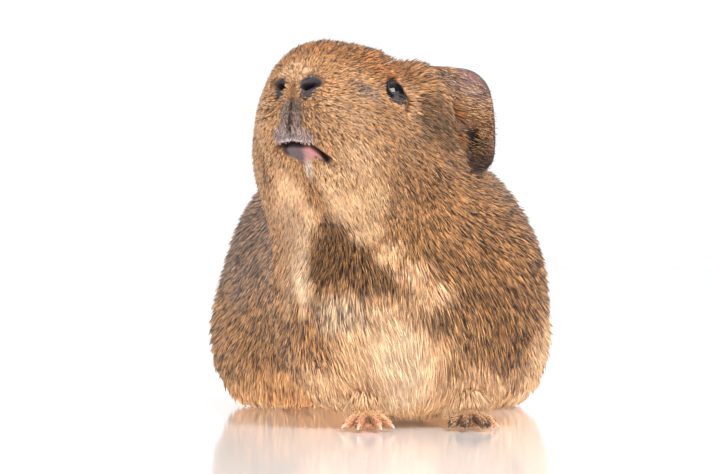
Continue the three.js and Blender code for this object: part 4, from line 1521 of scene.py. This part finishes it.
def ear_tufts(side, settings, rng):
    """Hair of an ear: short and dark on the back, long fine and pale across the front, thin where
    the pink skin shows at the top, and an orange fringe along its root."""
    grid = ear_grid(side)
    root_at, outward, upward, facing = ear_axes(side)

    def density(points):
        x, y = (points - root_at) @ outward, (points - root_at) @ upward
        inner = smoothstep(2.5, 0, past_ear_fringe(x, y))
        thin = smoothstep(5, 13, y + 2.5 * ripple(points, 6.0, 92)) * smoothstep(-2, 4, x)
        edge = smoothstep(0.5, 2.5, ear_rim_gap(x, y))
        outer = 4.2 * (1 - 0.6 * thin) * (1 - 0.4 * ear_hollow(x, y)) * mix(0.25, 1.0, edge)
        return mix(outer, 5.0, inner) * settings.density * (x > -6)

    row, column = scatter(grid, density, rng)
    root = sample(grid, row, column)
    normal = unit(sample(grid_normals(grid), row, column))
    x, y = (root - root_at) @ outward, (root - root_at) @ upward
    lie = outward - upward * (0.15 + 0.6 * smoothstep(-4, -18, y))[:, None]
    lie = unit(lie - normal * dot(lie, normal)[:, None])
    lie = turned(lie, normal, ripple(root, 9.0, 8) * 0.25 + rng.normal(0, 0.15, len(root)))
    front = dot(normal, facing[None]) > 0
    fringe = bump(past_ear_fringe(x, y), 2.0) * smoothstep(-12, -8, y) * smoothstep(8, 5, y)
    length = ear_length(x, y, front, fringe, rng)
    numbers = ear_numbers(x, y, front, fringe, rng)
    return {
        "root": root, "normal": normal, "lie": lie, "length": length,
        "rise": rng.uniform(0.2, 1.0, len(root)) + fringe,
        "width": rng.uniform(0.09, 0.18, len(root)) * (1 + 0.5 * fringe),
        "depth": np.zeros(len(root)), "shades": tuft_shades(numbers, rng),
        "unwrap": np.stack([(column / grid.shape[1] + (side < 0)) / 2, row / len(grid)], -1),
    }


# Hair of each part of a foot: tufts for each square millimetre, length, the spread of its
# direction, and its direction, which on the toes and the sole runs along them.
FOOT_HAIR = {
    "palm": (4.0, 3.0, 0.15, (0.0, -1.0, -0.35)),
    "wrist": (3.6, 6.0, 0.15, (0.0, -0.5, -0.9)),
    "toe": (7.0, 1.7, 0.08, None),
}


def foot_numbers(kind, fore, side, root, normal, rng):
    """Coats of a foot's tufts: peach, paler on the wrists, dark towards the toes of the forefoot
    to the left, and painted shade between the toes of both forefeet."""
    if kind == "wrist":
        return coat_mix("peach", "cream", rng.uniform(0, 0.6, len(root)))
    dark = (0.3 + 0.5 * smoothstep(-5, -10, root[:, 1])) * (side > 0) * fore
    dark = dark * (root[:, 0] < 24) * (0.4 + 0.6 * bump(root[:, 1] + 2, 4.0))
    numbers = coat_mix("peach", "bark", dark)
    if kind == "toe" and fore:
        # Tufts on the sides of the toes are darkened as painted shade between them.
        shade_between_toes = smoothstep(0.45, 0.85, np.abs(normal[:, 0]))[:, None]
        numbers = mix(numbers, coat_row("bark" if side > 0 else "umber"), 0.8 * shade_between_toes)
    return numbers


def foot_tufts(side, settings, rng):
    """Hair of the feet, lying from the wrist to the claws: long on the wrists, where it covers
    the palm, and short on the toes, with bare soles."""
    grids = foot_grids(side)
    kinds = ["palm", "wrist"] + ["toe"] * (len(grids["fore"]) - 2 + len(grids["hind"]))
    listed = grids["fore"] + grids["hind"]
    found = []
    for k, (grid, kind) in enumerate(zip(listed, kinds)):
        fore, toe, wrist = k < len(grids["fore"]), kind == "toe", kind == "wrist"
        many, long, spread, along = FOOT_HAIR[kind]
        row, column = scatter(
            grid, lambda p: many * settings.density * smoothstep(0.8, 1.8, p[..., 2]), rng
        )
        if toe:
            shown = rng.uniform(0, 1, len(row)) > 0.85 * smoothstep(0.8, 0.95, row / len(grid))
            row, column = row[shown], column[shown]
        root = sample(grid, row, column)
        normal = unit(sample(grid_normals(grid), row, column))
        if toe:
            lie = sample(unit(np.gradient(grid, axis=0)), row, column)
        else:
            lie = np.array(along) + 0.12 * (root - grid.mean((0, 1))) * (1, 0, 0)
        lie = unit(lie - normal * dot(lie, normal)[:, None])
        lie = turned(lie, normal, rng.normal(0, spread, len(root)))
        numbers = foot_numbers(kind, fore, side, root, normal, rng)
        slot_u = (k + column / grid.shape[1]) / len(listed)
        found.append({
            "root": root, "normal": normal, "lie": lie,
            "length": long * rng.uniform(0.7, 1.25, len(root)),
            "rise": rng.uniform(0.2, 0.5, len(root)) * (3.0 if wrist else 1.0),
            "width": rng.uniform(0.14, 0.24, len(root)) * (1.8 if wrist else 1.0),
            "depth": np.zeros(len(root)), "shades": tuft_shades(numbers, rng),
            "unwrap": np.stack([(slot_u + (side < 0)) / 2, row / len(grid)], -1),
        })
    return {key: np.concatenate([f[key] for f in found]) for key in found[0]}


# ---------------------------------------------------------------- pieces


def add_skin(settings):
    """One skin over the whole animal."""
    body = grid_mesh("skin", skin_grid())
    limbs = []
    for name, side in SIDES.items():
        limbs.append(grid_mesh(f"ear_skin_{name}", ear_grid(side)))
        for kind, grids in foot_grids(side).items():
            limbs.append(united(f"{kind}_foot_{name}", grids))
    skin = unite(body, limbs)
    paint(skin, "markings", skin_colours(form_points(skin), settings))
    flesh = ["head", "neck", "torso"]
    flesh += [f"{part}_{side}" for part in ("ear", "foreleg", "hind_leg") for side in SIDES]
    finish_piece(skin, skin_material(), flesh)


def lid_path(side):
    """The edge of the lids: the almond of the opening, carried onto the eyeball."""
    centre, long, across, out = eye_frame(side)

    def path(t):
        angle = 2 * np.pi * np.asarray(t)
        x = EYE_OPENING[0] * np.cos(angle)
        y = EYE_OPENING[1] * np.sin(angle) * (0.84 + 0.16 * np.sin(angle) ** 2)
        over = np.maximum(past_lower_lid(x, y * side), 0)
        x, y = x - LOWER_LID[0] * over, y - LOWER_LID[1] * over * side
        z = np.sqrt(np.maximum((EYE_RADIUS + LID_RIM) ** 2 - x**2 - y**2, 0.2))
        return centre + x[..., None] * long + y[..., None] * across + z[..., None] * out

    return path


def ring_mesh(name, path, radius, rows=96, columns=12):
    """A closed ring of round section along a closed path."""
    t = np.linspace(0, 1, rows, endpoint=False)
    centre = path(t)
    tangent = unit(path(t + 0.004) - path(t - 0.004))
    side = unit(centre - centre.mean(0))
    across = unit(np.cross(tangent, side))
    over = np.cross(tangent, across)
    v = round_angles(columns)[None, :, None]
    grid = centre[:, None] + radius * (np.cos(v) * across[:, None] + np.sin(v) * over[:, None])
    a = np.arange(rows * columns).reshape(rows, columns)
    b = np.roll(a, -1, 1)
    faces = halves(a, b, np.roll(b, -1, 0), np.roll(a, -1, 0))
    points = grid.reshape(-1, 3)
    return make_mesh(name, points, facing_out(points - points.mean(0), faces))


def add_eyes(settings):
    """Eyeballs with a raised clear front, and the dark wet rim of the lids round each."""
    eye_skin = eye_material(tuple(settings.iris), settings.pupil)
    rim = plain_material("lid_rim", srgb(30, 23, 26), 0.5)
    for name, side in SIDES.items():
        centre, long, across, out = eye_frame(side)
        grid = ellipsoid_grid((0, 0, 0), (1, 1, 1), rows=64, columns=96)
        x, y, z = np.moveaxis(grid, -1, 0)
        shape = x[..., None] * long + y[..., None] * across + z[..., None] * out
        swell = 1 + CORNEA["swell"] * bump(np.hypot(x, y), CORNEA["reach"]) * (z > 0)
        ball = grid_mesh(f"eyeball_{name}", centre + shape * (EYE_RADIUS * swell)[..., None])
        offset = form_points(ball) - centre
        radius = np.hypot(offset @ long, offset @ across) / EYE_RADIUS
        angle = np.arctan2(offset @ across, offset @ long)
        place = np.stack([radius, np.cos(angle), np.sin(angle)], -1)
        paint(ball, "eye_place", place, "FLOAT_VECTOR")
        finish_piece(ball, eye_skin, [f"eye_{name}"])
        lids = ring_mesh(f"lids_{name}", lid_path(side), LID_RIM)
        finish_piece(lids, rim)


def claw_grid(path, claw):
    """A claw: a rod that comes down from the toe's tip and tapers to a point."""
    tip = path(np.array([0.98, 1.0]))
    way = unit((tip[1] - tip[0]) * (1, 1, 0))
    root = tip[1] - way + UP * 0.5
    knee = root + way * claw["length"] * 0.6 + UP * 0.2
    end = root + way * claw["length"]
    end[2] = max(0.4, root[2] - claw["drop"])
    return rod_grid(bezier(root, knee, end), (claw["radius"], 0.28), rows=20, columns=14)


def add_claws():
    """Every claw, pale on the animal's right and the outer toe of its left forefoot, or dark."""
    pale = claw_material("pale_horn", srgb(204, 122, 98), srgb(222, 186, 166))
    dark = claw_material("dark_horn", srgb(26, 22, 24), srgb(66, 56, 56))
    for name, side in SIDES.items():
        feet = (("fore", fore_toes(side), FORE_CLAW), ("hind", hind_toes(side), HIND_CLAW))
        for kind, toes, claw in feet:
            for k, path in enumerate(toes, 1):
                grid = claw_grid(path, claw)
                piece = grid_mesh(f"horn_{kind}_{name}_{k}", grid)
                rows = np.linspace(0, 1, len(grid))
                along = flat_points(np.broadcast_to(rows[:, None, None], grid.shape[:2] + (1,)))
                paint(piece, "along", along[:, 0], "FLOAT")
                is_pale = side < 0 or (kind == "fore" and k == len(toes))
                finish_piece(piece, pale if is_pale else dark, [f"claw_{kind}_{name}_{k}"])


WHISKER_RADIUS = (0.042, 0.012)  # at the root and the tip
WHISKER_LENGTH = (12, 20)
LONGER_BEHIND = 2.0  # for every step back along the pad
WHISKER_REACH = 70.0  # no whisker goes further than this to the right


def whisker_roots(side):
    """Roots of the whiskers in four rows of five on a pad, and three over the eye."""
    line, step = np.divmod(np.arange(20), 5)
    back = -0.2 + 0.7 * step + 0.3 * step**2
    pad = np.stack([back, 4.6 + 2.4 * step + 0.6 * line, -4.9 + 0.5 * step - 2.5 * line], -1)
    brow = np.array([(27, 17, 19), (30, 17.5, 20), (24, 18, 17)], float)
    return np.concatenate([pad, brow]) * (1, side, 1)


def add_whiskers(settings):
    """Whiskers of each pad and brow: bent tapering rods, longer towards the back."""
    rng = np.random.default_rng(settings.seed + 90)
    points, faces = [], []
    total = 0
    for side in (1, -1):
        roots = onto(on_head(whisker_roots(side)), -1.0)
        outs = gap_and_way(roots)[1]
        for k, (root, out) in enumerate(zip(roots, outs)):
            lean = rng.uniform(0.2, 0.9)
            way = unit(out + LEFT * side * 0.4 - FORWARD * lean + UP * rng.uniform(-0.3, 0.35))
            length = rng.uniform(*WHISKER_LENGTH) + LONGER_BEHIND * (k % 5)
            length = min(length, (WHISKER_REACH + root[0]) / max(-way[0], 0.01))
            middle = root + way * length * 0.55
            end = root + way * length - UP * length * 0.22 - FORWARD * length * 0.15
            grid = rod_grid(bezier(root, middle, end), WHISKER_RADIUS, rows=14, columns=5)
            flat = flat_points(grid)
            points.append(flat)
            faces.append(facing_out(flat - flat.mean(0), grid_faces(*grid.shape[:2])) + total)
            total += len(flat)
    piece = make_mesh("whiskers", np.concatenate(points), np.concatenate(faces))
    pale = plain_material("whisker", srgb(206, 180, 154), 0.4, amount=0.1)
    finish_piece(piece, pale)


def coat_pieces(name, tufts, hair):
    """Tufts as pieces of at most MOST_TRIANGLES, in bands from the nose to the rump."""
    order = np.argsort(tufts["unwrap"][:, 1], kind="stable")
    most = MOST_TRIANGLES // (4 * tufts["rings"])
    for k, keep in enumerate(np.array_split(order, -(-len(order) // most)), 1):
        band = some(tufts, keep)
        low, high = band["unwrap"].min(0), band["unwrap"].max(0)
        band["unwrap"] = (band["unwrap"] - low) / np.maximum(high - low, 1e-6)
        tuft_mesh(f"{name}_{k:02d}", band, hair)


def add_coat(settings):
    """The coat, and that of the ears and feet."""
    rng = np.random.default_rng(settings.seed)
    hair = hair_material()
    tufts = body_tufts(skin_grid(), settings, rng)
    coat_pieces("coat", some(tufts, ~tufts["long"]), hair)
    coat_pieces("long_coat", {**some(tufts, tufts["long"]), "rings": 2}, hair)
    others = (("ear_hair", ear_tufts, "coat"), ("foot_hair", foot_tufts, "pale_coat"))
    for name, make, slot in others:
        sets = [make(side, settings, rng) for side in (1, -1)]
        both = {key: np.concatenate([one[key] for one in sets]) for key in sets[0]}
        coat_pieces(name, {**both, "follows": False, "rings": 1}, hair)


# ---------------------------------------------------------------- stage

FOCAL_PIXELS = 2223.0
IMAGE_WIDTH = 709
SENSOR = 36.0
CAMERA_HEIGHT = 67.7
CAMERA_BACK = 780.0
CAMERA_ASIDE = -22.3
LOOK = np.array([0.1045, 0.9945, 0.0])
FLOOR_REACH = 4000.0

# Square lights: place, target and width, in form millimetres.
LIGHTS = {
    "key": ((260, -720, 850), (-10, 0, 80), 560),
    "side": ((-900, -700, 260), (-20, 20, 60), 700),
    "fill": ((800, -700, 300), (0, 20, 60), 800),
    "top": ((0, 60, 1200), (0, 60, 0), 1300),
}


def add_camera():
    """A level camera far in front, a little to the animal's right."""
    right = np.array([LOOK[1], -LOOK[0], 0.0])
    place = UP * CAMERA_HEIGHT - LOOK * CAMERA_BACK + right * CAMERA_ASIDE
    data = bpy.data.cameras.new("camera")
    data.sensor_width = SENSOR
    data.lens = FOCAL_PIXELS * SENSOR / IMAGE_WIDTH
    data.clip_start = 0.01
    camera = bpy.data.objects.new("camera", data)
    camera.location = (place - ORIGIN) * MM
    camera.rotation_euler = (np.pi / 2, 0, np.arctan2(-LOOK[0], LOOK[1]))
    bpy.context.scene.collection.objects.link(camera)
    bpy.context.scene.camera = camera


def add_light(name, place, target, size, power):
    """A square soft light at a place, turned to a target."""
    data = bpy.data.lights.new(name, "AREA")
    data.shape = "SQUARE"
    data.size = size * MM
    data.energy = power
    light = bpy.data.objects.new(name, data)
    place = np.array(place, float)
    light.location = (place - ORIGIN) * MM
    way = unit(np.array(target, float) - place)
    side = unit(np.cross(way, UP))
    light.rotation_euler = matrix_angles(np.stack([side, np.cross(side, way), -way], 1))
    bpy.context.scene.collection.objects.link(light)


def matrix_angles(turn):
    """Euler angles of a rotation matrix, in X, Y, Z order."""
    y = -np.arcsin(turn[2, 0])
    return (np.arctan2(turn[2, 1], turn[2, 2]), y, np.arctan2(turn[1, 0], turn[0, 0]))


def add_floor(glow):
    """A pale glossy floor far wider than the view, lit a little from below: a flat square."""
    ring = np.array([(-1, -1, 0), (1, -1, 0), (1, 1, 0), (-1, 1, 0)], float) * FLOOR_REACH
    floor = make_mesh("floor", ring + (ORIGIN[0], ORIGIN[1], 0), np.array([(0, 1, 2), (0, 2, 3)]))
    material, nodes = new_material("floor")
    mottled(nodes, (0.97, 0.97, 0.97, 1), scale=3.0, amount=0.02, grain=0.0)
    seen = nodes.add("ShaderNodeLightPath").outputs["Is Camera Ray"]
    given = nodes.add("ShaderNodeMapRange", {"Value": seen, "To Min": glow, "To Max": 0.0})
    nodes.join(nodes.shader, {
        "Emission Color": (1, 1, 1, 1), "Emission Strength": given.outputs["Result"],
        "Roughness": 0.12, "Specular IOR Level": 0.5, "Coat Weight": 0.45, "Coat Roughness": 0.1,
    })
    floor.data.materials.append(material)


DARK_FLAG = (0.7, 0.48, 0.53)  # a dark screen this way keeps the eye from greying over


def add_world(strength):
    """White surroundings: full white behind the object and to the camera, softer in front."""
    world = bpy.data.worlds.new("studio")
    world.use_nodes = True
    nodes = Nodes(world.node_tree)
    way = nodes.add("ShaderNodeTexCoord").outputs["Generated"]
    split = nodes.add("ShaderNodeSeparateXYZ", {"Vector": way})
    behind = nodes.add("ShaderNodeMapRange", {
        "Value": split.outputs["Y"], "From Min": -0.2, "From Max": 0.5,
        "To Min": strength, "To Max": 1.12,
    })
    aim = nodes.add("ShaderNodeVectorMath", {0: way, 1: DARK_FLAG}, operation="DOT_PRODUCT")
    flag = nodes.add("ShaderNodeMapRange", {
        "Value": aim.outputs["Value"], "From Min": 0.78, "From Max": 0.92,
        "To Min": 1.0, "To Max": 0.1,
    })
    flagged = nodes.add("ShaderNodeMath", {
        0: behind.outputs["Result"], 1: flag.outputs["Result"],
    }, operation="MULTIPLY")
    seen = nodes.add("ShaderNodeLightPath").outputs["Is Camera Ray"]
    power = nodes.add("ShaderNodeMapRange", {
        "Value": seen, "To Min": flagged.outputs["Value"], "To Max": 1.05,
    })
    nodes.join(world.node_tree.nodes["Background"], {
        "Color": (1, 1, 1, 1), "Strength": power.outputs["Result"],
    })
    bpy.context.scene.world = world


def add_stage(settings):
    add_world(settings.surroundings)
    add_floor(settings.glow)
    for name, light in LIGHTS.items():
        add_light(name, *light, getattr(settings, name))
    add_camera()
    bpy.context.scene.view_settings.view_transform = "Standard"


# ---------------------------------------------------------------- settings and operators


class GuineaPigCoat(bpy.types.PropertyGroup):
    density: FloatProperty(
        name="Density", description="Tufts compared with the usual count",
        default=1.0, min=0.05, max=2,
    )
    length: FloatProperty(
        name="Length", description="Length of the hair, 1 for a short coat", default=1.0
    )
    ticking: FloatProperty(
        name="Ticking", description="Share of dark-tipped hair, 1 as usual", default=1.0
    )
    seed: IntProperty(name="Seed", description="Starts every random draw", default=7)


class GuineaPigEyes(bpy.types.PropertyGroup):
    iris: FloatVectorProperty(
        name="Iris", description="Colour of the iris", subtype="COLOR", default=srgb(34, 20, 16)
    )
    pupil: FloatProperty(
        name="Pupil", description="Pupil's share of the eyeball's radius", default=0.6
    )


def light_power(name, description, default):
    return FloatProperty(name=name, description=description, default=default, unit="POWER")


class GuineaPigStage(bpy.types.PropertyGroup):
    surroundings: FloatProperty(
        name="Surroundings", description="Strength of the white light all round", default=0.36
    )
    key: light_power("Key light", "Power of the light over the camera", 15.0)
    side: light_power("Side light", "Power of the light from the front left", 8.0)
    fill: light_power("Fill light", "Power of the light from the front right", 6.0)
    top: light_power("Top light", "Power of the light from above", 1.0)
    glow: FloatProperty(
        name="Floor glow", description="Light that the floor itself gives off", default=0.78
    )


class GUINEAPIG_OT_skin(bpy.types.Operator):
    """Make the skin of the whole animal"""

    bl_idname = "guineapig.skin"
    bl_label = "Skin"

    def execute(self, context):
        add_skin(context.scene.guineapig_coat)
        return {"FINISHED"}


class GUINEAPIG_OT_eyes(bpy.types.Operator):
    """Make the eyeballs and the rims of the lids"""

    bl_idname = "guineapig.eyes"
    bl_label = "Eyes"

    def execute(self, context):
        add_eyes(context.scene.guineapig_eyes)
        return {"FINISHED"}


class GUINEAPIG_OT_claws(bpy.types.Operator):
    """Make the claws"""

    bl_idname = "guineapig.claws"
    bl_label = "Claws"

    def execute(self, context):
        add_claws()
        return {"FINISHED"}


class GUINEAPIG_OT_whiskers(bpy.types.Operator):
    """Make the whiskers"""

    bl_idname = "guineapig.whiskers"
    bl_label = "Whiskers"

    def execute(self, context):
        add_whiskers(context.scene.guineapig_coat)
        return {"FINISHED"}


class GUINEAPIG_OT_coat(bpy.types.Operator):
    """Grow the coat over the body, ears and feet"""

    bl_idname = "guineapig.coat"
    bl_label = "Coat"

    def execute(self, context):
        add_coat(context.scene.guineapig_coat)
        return {"FINISHED"}


class GUINEAPIG_OT_stage(bpy.types.Operator):
    """Set up the floor, surroundings, lights and camera"""

    bl_idname = "guineapig.stage"
    bl_label = "Stage"

    def execute(self, context):
        add_stage(context.scene.guineapig_stage)
        return {"FINISHED"}


class GUINEAPIG_PT_panel(bpy.types.Panel):
    """Settings and steps of the guinea pig"""

    bl_idname = "GUINEAPIG_PT_panel"
    bl_label = "Guinea pig"
    bl_space_type = "VIEW_3D"
    bl_region_type = "UI"
    bl_category = "Guinea pig"

    def draw(self, context):
        for name, group in SETTINGS.items():
            box = self.layout.box()
            for key in group.__annotations__:
                box.prop(getattr(context.scene, name), key)
        for operator in OPERATORS:
            self.layout.operator(operator.bl_idname)


SETTINGS = {
    "guineapig_coat": GuineaPigCoat,
    "guineapig_eyes": GuineaPigEyes,
    "guineapig_stage": GuineaPigStage,
}
OPERATORS = (
    GUINEAPIG_OT_skin, GUINEAPIG_OT_eyes, GUINEAPIG_OT_claws, GUINEAPIG_OT_whiskers,
    GUINEAPIG_OT_coat, GUINEAPIG_OT_stage,
)
CLASSES = (*SETTINGS.values(), *OPERATORS, GUINEAPIG_PT_panel)


def register():
    for cls in CLASSES:
        bpy.utils.register_class(cls)
    for name, group in SETTINGS.items():
        setattr(bpy.types.Scene, name, PointerProperty(type=group))


def unregister():
    for name in SETTINGS:
        delattr(bpy.types.Scene, name)
    for cls in reversed(CLASSES):
        bpy.utils.unregister_class(cls)


def main():
    register()
    bpy.ops.guineapig.stage()
    bpy.ops.guineapig.skin()
    bpy.ops.guineapig.eyes()
    bpy.ops.guineapig.claws()
    bpy.ops.guineapig.whiskers()
    bpy.ops.guineapig.coat()


if __name__ == "__main__":
    main()
